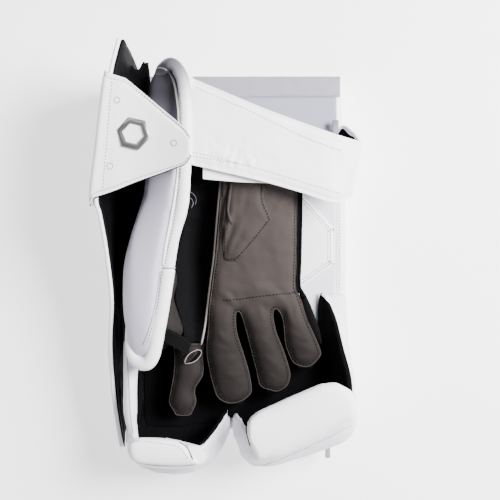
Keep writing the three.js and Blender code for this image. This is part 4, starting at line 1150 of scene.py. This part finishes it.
PALM_FOLDS = [((-9, 44), (-15, 6), 2.6, 1.6), ((-4, 36), (-13, -10), 3.0, 1.3),
              ((10, 60), (-2, 20), 4.0, 0.9), ((-16, -30), (6, -46), 3.4, 1.0),
              ((20, -44), (30, -58), 3.2, 0.9), ((2, -30), (40, -22), 5.0, 0.7),
              ((44, -40), (56, -62), 3.0, 0.8), ((-14, -96), (8, -90), 2.6, 0.8),
              ((20, -92), (40, -96), 2.6, 0.7), ((52, -84), (70, -80), 2.6, 0.7),
              ((-20, -70), (-6, -74), 3.0, 0.9), ((30, 40), (50, 66), 4.5, 0.7),
              ((-9, 70), (-13, 34), 2.2, 1.5), ((0, 52), (-7, 12), 2.6, 1.3), ((7, 30), (-4, 0), 3.0, 1.0),
              ((-16, 20), (-20, -20), 2.4, 1.0), ((-12, -52), (-4, -44), 2.6, 0.9),
              ((30, -30), (52, -40), 3.6, 0.9), ((-20, -112), (4, -106), 2.4, 0.7),
              ((24, -108), (42, -112), 2.4, 0.6), ((56, -94), (72, -92), 2.2, 0.6),
              ((-24, -84), (-4, -82), 2.6, 0.8), ((20, -76), (36, -80), 2.4, 0.7),
              ((47, -70), (62, -72), 2.4, 0.7)]


def folds(x, y):
    """Soft creases in the palm, each a furrow along a line with a swell beside it."""
    total = 0
    for (ax, ay), (bx, by), width, depth in PALM_FOLDS:
        dx, dy = bx - ax, by - ay
        long = math.hypot(dx, dy)
        along = ((x - ax) * dx + (y - ay) * dy) / long ** 2
        off = ((x - ax) * dy - (y - ay) * dx) / long + 1.5 * math.sin(along * 5)
        ends = bell(along - 0.5, 0.42)
        total += depth * ends * (bell(off - width * 1.3, width) - bell(off, width * 0.6))
    return total


def flange(x, y, inside):
    """A sewn flange: the leather is flat for 2.6 mm, dips at the stitches and swells inside them."""
    sewn = 1.4 * (1 - bell(inside, 5)) - 1.1 * bell(inside - 2.8, 1.2) - 0.7
    return sewn + folds(x, y) + rippled(x, y, 1, 7, 0.5) + rippled(x, y, 5, 18, 1.2)


class GLOVE_OT_palm(bpy.types.Operator):
    """Builds the suede palm with its finger lobes, overlay, welt, piping and cut edge"""

    bl_idname = "glove.palm"
    bl_label = "Palm"

    def execute(self, context):
        step = sizes().cloth_step / MM

        def palm_top(x, y):
            return palm_under(x, y) + LEATHER

        made = cut_sheet(smooth_line(PALM, 1.6, closed=True), palm_top, step, relief=flange)
        palm = piece("palm_suede", made, palm_suede(), "palm", slot="palm_leather", thick=1.5)
        cloth(palm, "stretched", "hand_pocket_cloth")
        heel = smooth_line(corners_kept(HEEL, 4), 1.8, closed=True)
        made = cut_sheet(heel, lambda x, y: palm_under(x, y) + LEATHER + GAP + 1.4, step,
                         relief=lambda x, y, inside: flange(x, y, inside) + 0.6)
        overlay = piece("heel_overlay", made, palm_suede(), "heel_patch", slot="palm_leather", thick=1.6)
        cloth(overlay, "laid", "palm_suede")
        made = cut_sheet(smooth_line(sides_of(INDEX, INDEX_TOP), 1.6, closed=True),
                         lambda x, y: index_under(x, y) + LEATHER, step, relief=flange)
        index = piece("index_leather", made, finger_suede(), "index_palm", slot="palm_leather", thick=1.5)
        cloth(index, "stretched", "index_stall_cloth")
        made = cut_sheet(smooth_line(sides_of(THUMB, THUMB_TOP), 1.6, closed=True),
                         lambda x, y: thumb_under(x, y) + LEATHER, step, relief=flange)
        thumb = piece("thumb_leather", made, finger_suede(), "thumb_palm", slot="palm_leather", thick=1.5)
        cloth(thumb, "stretched", "thumb_stall_cloth")
        lines = []
        for corners, carrier in ((PALM, palm), (sides_of(INDEX, INDEX_TOP), index)):
            line = inset_line(corners, 2.8)
            lines.append(dropped([(p.x, p.y) for p in line + line[:1]], [carrier]))
        lines.append(dropped([(p.x, p.y) for p in inset_line(corners_kept(HEEL, 4), 2.2)], [overlay]))
        knuckles = smooth_line([(-13, -42), (0, -41.4), (20, -38.4), (55, -35)], 2)
        lines.append(dropped([tuple(p) for p in knuckles], [palm]))
        stitches("palm_stitches", lines, dark_thread(), wide=1.5)
        for name, corners, carrier in (("palm", PALM, palm), ("index", sides_of(INDEX, INDEX_TOP), index)):
            line = [(p.x, p.y) for p in inset_line(corners, 0.8)]
            places = [p + n * 0.15 for p, n in dropped(line + line[:1], [carrier])]
            piece(name + "_rim", tube_along(places, 0.45, sides=6), worn_rim(), slot="palm_leather")
        welt = [p for p, n in dropped([tuple(p) for p in smooth_line(WELT, 2)], [overlay])]
        piece("heel_fold", tube_along([p - Vector((0, 0, 0.1)) for p in welt], 1.7), palm_suede(),
              "heel_welt", slot="palm_leather")
        for name, shift, nodes in (("outer", 0.4, ["palm_piping"]), ("inner", -2.1, [])):
            line = smooth_line([(x + shift, y) for x, y in PIPING], 2)
            places = [Vector((p.x, p.y, across(EDGE, p.y, "z") + 0.9)) for p in line]
            piece("palm_piping_" + name, tube_along(places, 1.3), black_cloth(), *nodes, slot="black_leather")
        knot = Vector((61.5, -38.5, across(EDGE, -38, "z") + 1))
        places = smooth_line([knot + Vector((-2, 1, 0)), knot + Vector((0, 0, 0.6)),
                              knot + Vector((2, -1.2, 0))], 1)
        piece("palm_piping_knot", tube_along(places, 1.9), black_cloth(), slot="black_leather")
        side = [(58, -31), (60.5, -38), (63.5, -47.5), (67.8, -60), (73, -72), (78, -84)]
        places = [Vector((p.x, p.y, palm_under(p.x - 4, p.y) - 5)) for p in smooth_line(side, 2)]
        made = tube_along(places, lambda t: 0.8 + 4.2 * math.sin(math.pi * t) ** 0.8, sides=16, tall=1.3)
        piece("pinky_side_cloth", made, black_cloth(), slot="black_cloth")
        places = [Vector((across(THUMB_SIDE, y, "x"), y, across(EDGE, y, "z") + 1.3))
                  for y in range(84, -85, -3)]
        piece("palm_cut_edge", tube_along(places, 0.95, tall=0.8), cut_edge(), "palm_edge",
              slot="palm_leather")
        return {"FINISHED"}


def dropped(line, carriers):
    """A line of (x, y) laid on the tops of some pieces, with the normals there."""
    trees = tree_of(carriers)
    made = []
    for x, y in line:
        hits = [tree.ray_cast(Vector((x, y, 300)) * MM, Vector((0, 0, -1))) for tree in trees]
        hits = [hit for hit in hits if hit[0] is not None]
        if hits:
            place, normal, _, _ = min(hits, key=lambda hit: hit[3])
            made.append((place / MM, normal))
    return made


class GLOVE_OT_web(bpy.types.Operator):
    """Builds the stretch mesh beside the thumb, the elastic band and its leather loop"""

    bl_idname = "glove.web"
    bl_label = "Thumb web and elastic"

    def execute(self, context):
        outline = [(row["right"] + (3 if row["y"] > -50 else 0), min(row["y"], 86)) for row in VALLEY]
        outline += [(row["left"], min(row["y"], 86)) for row in reversed(VALLEY)]

        def wrinkles(x, y, inside):
            fold = bell(y - 52, 26) * math.sin(y / 2.6 + rippled(x, y, 0, 20, 3)) * 0.9
            return (fold + rippled(x, y, 2, 14, 1.6)) * (1 - bell(inside, 6))

        made = cut_sheet(smooth_line(corners_kept(outline, 3), 2, closed=True),
                         lambda x, y: web_under(x, y) + 1.4, sizes().cloth_step / MM, relief=wrinkles)
        web = piece("web_mesh", made, stretch_mesh(), "thumb_web", slot="black_cloth", thick=1.2)
        cloth(web, "stretched", "palm_suede", "thumb_leather")

        def band_at(u, v):
            row = between(BAND, u)
            middle = Vector((row["x"], row["y"], row["z"]))
            return middle + Vector((0.34, 0.94, 0)) * lerp(-row["half"], row["half"], v)

        made = sheet(band_at, 60, 8, lambda u, v: rippled(u * 70, v * 13, 0, 10, 0.4))
        band = piece("elastic_band", made, elastic(), "thumb_elastic", slot="elastic", thick=1.4, bevel=0.3)
        cloth(band, "stretched", "thumb_leather", long=70)
        sewn = [[(0.35 + 0.65 * k / 40, v) for k in range(41)] for v in (0.14, 0.86)]
        stitches("elastic_stitches", [on_sheet(band_at, line) for line in sewn], dark_thread(), 2.4)
        loop = piece("leather_loop", node_mesh("elastic_loop"), palm_suede(), "elastic_loop",
                     slot="palm_leather", bevel=1.2)
        carriers = [loop, band, web, bpy.data.objects["index_leather"], bpy.data.objects["palm_suede"]]
        leaf = [p + n * 0.6 for p, n in seen(LOOP_EDGE, carriers, 1, True)]
        piece("loop_cut_edge", tube_along(leaf + leaf[:1], 0.4, sides=6), cut_edge(), slot="palm_leather")
        # A black sheet across the loop's opening: painted shade of its dark inside.
        made = bmesh.new()
        made.faces.new([made.verts.new((p - Vector((0, 0, 0.35))) * MM) for p in leaf])
        piece("loop_opening", made, black_cloth(), slot="black_cloth", thick=0.3)
        for i, line in enumerate(LOOSE_THREADS):
            places = [p + n * 0.5 for p, n in seen(line, carriers, 1)]
            piece("loose_thread_%d" % (i + 1), tube_along(places, 0.28, sides=6), light_thread(),
                  slot="white_leather")
        return {"FINISHED"}


class GLOVE_OT_thumb_pad(bpy.types.Operator):
    """Builds the padded thumb protector, its white roll, its lining and the wall that holds it up"""

    bl_idname = "glove.thumb_pad"
    bl_label = "Thumb protector"

    def execute(self, context):
        rings = []
        for k in range(73):
            t = k / 72
            row = between(PAD, lerp(1, len(PAD) - 2.4, t) / (len(PAD) - 1))
            right, wide, high, half = pad_frame(row)
            ends = math.sqrt(max(0.02, 1 - abs(2 * t - 1) ** 6))
            half_face = half - PAD_ROLL / 2 - 0.3
            middle = right - wide * (PAD_ROLL + half_face)
            ring = ring_points(middle, wide, high, half_face * (0.45 + 0.55 * ends),
                               row["thick"] / 2 * ends, 44, 2.8)
            dish = PAD_DISH * ends * max(0, min(1, (row["y"] - 62) / 40))
            rings.append([p - high * dish * bell((p - middle).dot(wide) - 4, half_face * 0.62)
                          * max(0, min(1, (p - middle).dot(high) / 3)) for p in ring])
        made = swollen(loft(rings), 1.8)
        pad = piece("pad_cushion", made, pad_leather(), "thumb_pad", slot="white_leather", levels=1)

        def edge(row, side, inset=PAD_ROLL):
            right, wide, _, half = pad_frame(row)
            return right + wide * (-inset if side > 0 else inset - 2 * half)

        path = [edge(PAD[2], -1), edge(PAD[1], -1) + Vector((2, -3, 0)),
                edge(PAD[0], 1) + Vector((-4, -4.5, 0)), edge(PAD[1], 1) + Vector((-2, -1, 0))]
        path += [edge(row, 1) for row in PAD[2:-3]] + [Vector(place) for place in ROLL_END]
        places = smooth_line(path, 2.0)
        last = len(places) - 1
        fat = [PAD_ROLL * (1 + 0.012 * math.sin(k * 0.9) - (0.14 if p.y > PAD_STEP else 0))
               * (1 - 0.75 * max(0, 1 - (last - k) / 22)) * (1 - 0.6 * max(0, 1 - k / 9))
               for k, p in enumerate(places)]
        made = tube_along(places, lambda t: fat[round(t * (len(fat) - 1))], sides=20, tall=ROLL_TALL)
        rim = piece("pad_rim_roll", made, roll_leather(), "thumb_pad_roll", slot="white_leather")
        step = {key: across(PAD, PAD_STEP, key) for key in PAD[0]}
        _, wide, high, _ = pad_frame(step)
        turns = [math.radians(12 * k) for k in range(31)]
        places = [edge(step, 1) + (wide * math.cos(turn) + high * math.sin(turn) * ROLL_TALL) * PAD_ROLL
                  for turn in turns]
        piece("pad_roll_joint", tube_along(places, 0.5, sides=8), grey_leather(), slot="grey_leather")
        for name, line, radius, finish in (("pad_seam_piping", PAD_PIPING, 1.2, roll_leather),
                                           ("pad_crease", PAD_CREASE, 0.4, grey_leather)):
            places = [p + n * radius * 0.3 for p, n in seen(line, [pad, rim], 1.5)]
            piece(name, tube_along(evened(places), radius), finish(), slot="white_leather")
        stitches("pad_stitches", [seen(line, [pad, rim], 1.2) for line in PAD_STITCHES], light_thread())

        def under(u, v):
            row = between(PAD, lerp(0.09, 0.95, u))
            right, wide, high, half = pad_frame(row)
            proud = 8 * math.exp(-(((row["y"] - 18) / 32) ** 4))
            return right + wide * lerp(3 - 2 * half, proud - 10, v) - high * (row["thick"] / 2 + 1)

        made = sheet(under, 90, 16, lambda u, v: rippled(u * 250, v * 50, 0, 12, 0.6))
        lining = piece("pad_underside", made, black_cloth(), "thumb_pad_lining", slot="black_cloth",
                       thick=-1.8)
        cloth(lining, "stretched", "pad_cushion", long=250)

        def wall(u, v):
            row = between(MOUNT, u)
            return Vector((lerp(row["footX"], row["topX"], v), row["y"] + row["lean"] * v,
                           lerp(BACK + 2, row["topZ"], v)))

        made = sheet(wall, 80, 24, lambda u, v: rippled(u * 212, v * 60, 0, 20, 1.0))
        wall = piece("pad_wall", made, black_cloth(), "thumb_pad_mount", slot="black_cloth", thick=3)
        cloth(wall, "stretched", "nylon_back", long=212)
        return {"FINISHED"}


class GLOVE_OT_wing(bpy.types.Operator):
    """Builds the white wing on the thumb side and its shiny black lining"""

    bl_idname = "glove.wing"
    bl_label = "Wing"

    def execute(self, context):
        shell = WING_WALL["shell"]
        made = slab(lambda u, v, side: wing_at(u, v, shell * side), 150, 40)
        piece("wing_shell", made, white_leather(), "side_wing", slot="white_leather", bevel=0.9)

        def lining(u, v, side):
            up = lerp(0.3, 0.985, v)
            thick = WING_WALL["lining"] + WING_WALL["cushion"] * bell(u - 0.1, 0.14) * (1 - up ** 3) ** 0.7
            fold = rippled(u * 370, up * 120, 0, 24, 1.6) + rippled(u * 370, up * 120, 4, 9, 0.5)
            return wing_at(u, up, shell + 0.4 + side * max(0.8, thick - 0.4 + fold * (1 - up ** 6)))

        lining = piece("wing_inner_cloth", slab(lining, 170, 40), coated_black(), "wing_lining",
                       slot="black_leather")
        places = [wing_at(k / 120, 1, shell / 2) for k in range(121)]
        piece("wing_rim_piping", tube_along(places, 1.9), white_leather(), slot="white_leather")

        def outside(u, v):
            return wing_at(u, v, -0.15)

        ridges = [[(k / 120, 0.14) for k in range(121)]]
        for foot, slant in ((0.36, 0.08), (0.72, 0.05)):
            ridges.append([(foot + slant * k / 30, 0.14 + 0.8 * k / 30) for k in range(31)])
        for i, ridge in enumerate(ridges):
            piece("wing_ridge_%d" % (i + 1), tube_along([outside(u, v) for u, v in ridge], 0.9),
                  white_leather(), slot="white_leather")
        sewn = [[(1 - k / 160, row) for k in range(161)] for row in (0.955, 0.93, 0.175, 0.105)]
        sewn += [[(u + 0.01, v) for u, v in reversed(ridge)] for ridge in ridges[1:]]
        stitches("wing_stitches", [on_sheet(outside, line) for line in sewn], light_thread())

        def gusset(u, v):
            top = lerp(182, 166, min(1, v * 2)) + 8 * bell(v - 0.8, 0.09) - 7 * max(0, (v - 0.86) / 0.14)
            y = lerp(top, 96, u)
            sag = 5 * math.sin(math.pi * v) * (0.6 + 0.4 * math.sin(u * 9))
            return Vector((lerp(-104, -78.5, v), y, lerp(105, 89.5, v) - sag))

        made = sheet(gusset, 50, 24, lambda u, v: rippled(u * 80, v * 26, 0, 9, 1.2))
        made = piece("wrist_gusset", made, black_cloth(), slot="black_cloth", thick=1.5)
        cloth(made, "stretched", "wing_inner_cloth", "pad_wall")

        def channel(u, v):
            foot = wing_at(lerp(0.02, 0.74, u), 0.33, 4.5)
            here = foot.lerp(Vector((-91, foot.y, 36)), v)
            return here - Vector((0, 0, 3 * math.sin(math.pi * v)))

        made = sheet(channel, 90, 10, lambda u, v: rippled(u * 230, v * 20, 0, 14, 0.8))
        made = piece("channel_cloth", made, black_cloth(), slot="black_cloth", thick=1.5)
        cloth(made, "stretched", "wing_inner_cloth", "nylon_back", long=245)
        return {"FINISHED"}


class GLOVE_OT_tab(bpy.types.Operator):
    """Builds the three-cornered closing tab with its stitched border and a plain six-sided badge"""

    bl_idname = "glove.tab"
    bl_label = "Closing tab"

    def execute(self, context):
        def border(u, v):
            row = between(TAB, max(0, (u - 0.3) / 0.7))
            tall = (row["high"] - row["low"]) if u > 0.3 else 105
            inside = min(v * tall, (1 - v) * tall, (1 - u) * 95 + 1, u * 95 + 1)
            sewn = 0.5 * (1 - bell(inside, 5)) - 0.6 * bell(inside - 3, 1.2)
            return sewn - 0.5 * bell((u - TAB_FOLD) * 95, 1.0)

        made = sheet(tab_at, 120, 80, border)
        tab = piece("tab_leather", made, white_leather(), "closing_tab", slot="white_leather", thick=2.2,
                    bevel=0.5)
        cloth(tab, "folded", "wing_shell", long=100)
        places = [tab_at(1, 1 - k / 8) for k in range(8)] + [tab_at(1 - 0.84 * k / 60, 0) for k in range(61)]
        piece("tab_black_edge", tube_along([p - Vector((0, 0, 1.6)) for p in places], 0.9), coated_black(),
              slot="black_leather")
        top = [[(1 - (0.84 - 0.03) * k / 60 - 0.03, v) for k in range(61)] for v in (0.035, 0.965)]
        fold = [(TAB_FOLD, k / 40) for k in range(2, 39)]
        stitches("tab_stitches", [on_sheet(tab_at, line) for line in top + [fold]], light_thread())
        piece("tab_hexagon", node_mesh("tab_badge"), silver(), "tab_badge", slot="silver", bevel=0.5)
        lines = []
        for x, y in ((117, 100), (174, 143), (110, 166)):
            ring = [(x + 3 * math.cos(t * math.pi / 6), y + 3 * math.sin(t * math.pi / 6)) for t in range(12)]
            lines.append(seen(ring, [tab], 0.8, True))
        for i, line in enumerate(lines):
            if len(line) > 3:
                places = [p + n * 0.1 for p, n in line]
                piece("tab_ring_%d" % (i + 1), tube_along(places + places[:1], 0.35, sides=6),
                      grey_leather(), slot="grey_leather")
        return {"FINISHED"}


class GLOVE_OT_strap(bpy.types.Operator):
    """Builds the wrist strap, the layer under it and the keeper beside it"""

    bl_idname = "glove.strap"
    bl_label = "Wrist strap"

    def execute(self, context):
        tall = 62

        def relief(u, v):
            inside = min(v * tall, (1 - v) * tall)
            wrinkle = bell(u - 0.2, 0.08) * bell(v - 0.2, 0.2) * rippled(u * 900, v * tall, 0, 9, 1.6)
            sewn = 0.7 * (1 - bell(inside, 5)) - 0.6 * bell(inside - 3.2, 1.2) - 0.5
            return sewn + wrinkle + rippled(u * 400, v * tall, 0, 26, 0.7)

        made = sheet(lambda u, v: strap_at(1 - u, v), 200, 44, relief)
        strap = piece("strap_leather", made, white_leather(), "wrist_strap", slot="white_leather",
                      thick=2.8, bevel=0.7)
        cloth(strap, "folded", "board_cover", "pad_cushion", long=255)
        stitches("strap_stitches", [seen(line, [strap]) for line in STRAP_SEAMS], light_thread())

        # A black sheet on the inside of the strap's fold: painted shade where the fold is dark.
        def inner_face(u, v):
            here, normal = on_sheet(strap_at, [(lerp(0.14, 0.44, u), lerp(0.05, 0.95, v))])[0]
            return here + normal * 3.1

        made = sheet(inner_face, 60, 24)
        made = piece("strap_inner_face", made, black_cloth(), slot="black_cloth", thick=0.5)
        cloth(made, "stretched", "strap_leather", long=110)

        def layer(u, v):
            row = between(BACKING, u)
            return Vector((row["x"], lerp(row["low"], row["high"], v), row["z"]))

        made = sheet(layer, 40, 40, lambda u, v: rippled(u * 58, v * 60, 0, 14, 0.4) - 0.3)
        backing = piece("strap_layer", made, white_leather(), "strap_backing", slot="white_leather",
                        thick=1.8, bevel=0.4)
        cloth(backing, "laid", "strap_leather", long=60)
        piece("keeper", node_mesh("strap_keeper"), pad_leather(), "strap_keeper", slot="white_leather",
              bevel=0.8)
        return {"FINISHED"}


class GLOVE_OT_guards(bpy.types.Operator):
    """Builds the two finger guards with rolls and linings, the floor between them and the loose end"""

    bl_idname = "glove.guards"
    bl_label = "Finger guards"

    def execute(self, context):
        for name in ("index_guard", "finger_guard"):
            made = softened([name], 1.6, 5, lambda x, y, z: rippled(x, y, z, 26, 0.8))
            guard = piece(name + "_leather", made, guard_leather(), name, slot="white_leather")
        for name in ("index_roll", "finger_roll"):
            made = swollen(softened([name], 2.4, 1, lambda x, y, z: -0.5), 1.2)
            roll = piece(name + "_leather", made, white_leather(), name, slot="white_leather", levels=1)
        carriers = [bpy.data.objects[name] for name in ("index_guard_leather", "finger_guard_leather",
                                                        "index_roll_leather", "finger_roll_leather")]
        lines = [[p + n * 0.2 for p, n in seen(line, carriers, 1.2)] for line in GUARD_EDGES]
        for name, line in zip(("index_roll", "finger_roll"), lines):
            piece(name + "_edge", tube_along(line, 0.55, sides=6), coated_black(), slot="black_leather")
        for spec in SKIRTS:
            made = skirt(spec, *(bpy.data.objects["%s_%s_leather" % (spec["name"], part)]
                                 for part in ("guard", "roll")))
            joint = piece(spec["name"] + "_roll_skirt", made, guard_leather(), slot="white_leather",
                          thick=1.2)
            cloth(joint, "stretched", spec["name"] + "_guard_leather", long=160)
            carriers.append(joint)
        stitches("guard_stitches", [seen(line, carriers, 1.2) for line in GUARD_SEAMS], light_thread())
        for i, line in enumerate(GUARD_CREASES):
            places = evened([p + n * 0.1 for p, n in seen(line, carriers, 1.5)])
            piece("guard_crease_%d" % (i + 1), tube_along(places, 0.35, sides=6), grey_leather(),
                  slot="white_leather")
        for name, rows, low, high, split in (("index_lining", INDEX_GUARD, 0, 0.93, -7.4),
                                             ("finger_lining", FINGER_GUARD, 0.16, 0.96, -5.8)):
            made = sheet(lining_of(rows, low, high, split), 100, 30,
                         lambda u, v: rippled(u * 200, v * 60, 0, 12, 0.7) * (1 - bell(v, 0.1)))
            bmesh.ops.recalc_face_normals(made, faces=made.faces[:])
            lining = piece(name + "_cloth", made, black_cloth(), name, slot="black_cloth", thick=1)
            cloth(lining, "stretched", name.replace("lining", "guard_leather"), long=170)
        made = cut_sheet(smooth_line(corners_kept(FLOOR, 2), 3, closed=True), lambda x, y: FLOOR_HEIGHT, 4,
                         relief=lambda x, y, inside: rippled(x, y, 0, 20, 0.5) - 0.3)
        floor = piece("guard_floor_cloth", made, black_cloth(), "guard_floor", slot="black_cloth", thick=1.2)
        cloth(floor, "laid", "nylon_back")
        for i, line in enumerate(CUP_SEAMS):
            carriers = [floor, bpy.data.objects["index_lining_cloth"]]
            places = evened([p + n * 0.2 for p, n in seen(line, carriers, 1.5)])
            piece("cup_seam_%d" % (i + 1), tube_along(places, 0.4, sides=6), elastic(), slot="black_cloth")
        made = sheet(slope_at, 60, 24, lambda u, v: rippled(u * 90, v * 40, 0, 11, 0.5) * (1 - bell(v, 0.2)))
        bmesh.ops.recalc_face_normals(made, faces=made.faces[:])
        slope = piece("finger_side_lining", made, black_cloth(), slot="black_cloth", thick=1)
        cloth(slope, "stretched", "finger_guard_leather", long=95)
        piece("loose_binding_end", node_mesh("end_tab"), grey_leather(), "end_tab", slot="grey_leather",
              bevel=0.8)
        return {"FINISHED"}


def skirt(spec, guard, roll):
    """Leather that runs from the outside of a guard up to its roll, and narrows to nothing at both ends."""
    trees = tree_of([guard, roll])
    middle = Vector((spec["x"], spec["y"], 0))
    columns = 72
    lines = []
    for k in range(columns):
        u = k / (columns - 1)
        turn = math.radians(lerp(spec["start"], spec["end"], u))
        out = Vector((math.cos(turn), math.sin(turn), 0))
        open_up = min(1, 3.2 * math.sin(math.pi * u))
        ends = []
        for tree, height in zip(trees, ("low", "high")):
            z = lerp(spec["meet"], spec[height], open_up)
            hit = tree.ray_cast((middle + out * 150 + Vector((0, 0, z))) * MM, -out)[0]
            ends.append(hit / MM if hit is not None else None)
        if any(ends):
            lines.append((out, ends[0] or ends[1], ends[1] or ends[0], open_up))

    def place(u, v):
        out, low, high, open_up = lines[round(u * (len(lines) - 1))]
        return low.lerp(high, v) + out * (0.3 + 2.2 * open_up * math.sin(math.pi * v))

    made = sheet(place, len(lines) - 1, 16)
    for _ in range(4):
        bmesh.ops.smooth_vert(made, verts=made.verts[:], factor=0.5, use_axis_x=True, use_axis_y=True,
                              use_axis_z=True)
    return made


def slope_at(u, v):
    """The black cloth inside the finger guard's side wall, from over the wall's top down to the board."""
    y = lerp(SLOPE[0]["y"], SLOPE[-1]["y"], u)
    wall = {key: across(FINGER_GUARD[:9:-1], y, key) for key in ("x", "rim", "rimZ", "crest")}
    rim, crest, foot = wall["x"] + wall["rim"], wall["crest"], across(SLOPE, y, "foot")
    inner = rim - 1.15 * crest
    line = table("x z", (rim - 0.15 * crest, wall["rimZ"] + 1.1), (rim - 0.7 * crest, wall["rimZ"] + 1.2),
                 (inner, wall["rimZ"] - crest / 2), (lerp(inner, foot, 0.55), lerp(wall["rimZ"], 34.8, 0.6)),
                 (foot, 34.8))
    spot = between(line, 1 - (1 - v) * min(1, math.sqrt(0.06 + u / 0.12)))
    return Vector((spot["x"], y, spot["z"]))


def lining_of(rows, low, high, split):
    """The inside of a guard's wall as a sheet, kept on its own side of the line x = split."""
    def place(u, v):
        row = between(rows, lerp(low, high, u))
        line = guard_inner(row)
        k = min(int(v * 4), 3)
        r, z = (lerp(line[k][i], line[k + 1][i], v * 4 - k) for i in (0, 1))
        turn = math.radians(row["out"])
        x, y = row["x"] + (r - 0.9) * math.cos(turn), row["y"] + (r - 0.9) * math.sin(turn)
        x = min(x, split) if rows is INDEX_GUARD else max(x, split)
        return Vector((x, y, max(z, 34.2)))
    return place


class GLOVE_PT_pieces(bpy.types.Panel):
    """Lists the steps of the glove"""

    bl_label = "Blocking glove"
    bl_space_type = "VIEW_3D"
    bl_region_type = "UI"
    bl_category = "Glove"

    def draw(self, context):
        for step in STEPS:
            self.layout.operator(step.bl_idname)
        for group in (context.scene.glove_sizes, context.scene.glove_colours):
            for key in group.bl_rna.properties.keys():
                if key not in ("rna_type", "name"):
                    self.layout.prop(group, key)


STEPS = (GLOVE_OT_stage, GLOVE_OT_board, GLOVE_OT_hand, GLOVE_OT_palm, GLOVE_OT_web, GLOVE_OT_thumb_pad,
         GLOVE_OT_wing, GLOVE_OT_tab, GLOVE_OT_strap, GLOVE_OT_guards)
CLASSES = (GloveSizes, GloveColours) + STEPS + (GLOVE_PT_pieces,)


def register():
    for kind in CLASSES:
        bpy.utils.register_class(kind)
    bpy.types.Scene.glove_sizes = bpy.props.PointerProperty(type=GloveSizes)
    bpy.types.Scene.glove_colours = bpy.props.PointerProperty(type=GloveColours)


def unregister():
    del bpy.types.Scene.glove_colours
    del bpy.types.Scene.glove_sizes
    for kind in reversed(CLASSES):
        bpy.utils.unregister_class(kind)


def main():
    register()
    for step in STEPS:
        name = step.bl_idname.split(".")[1]
        getattr(bpy.ops.glove, name)()


if __name__ == "__main__":
    main()
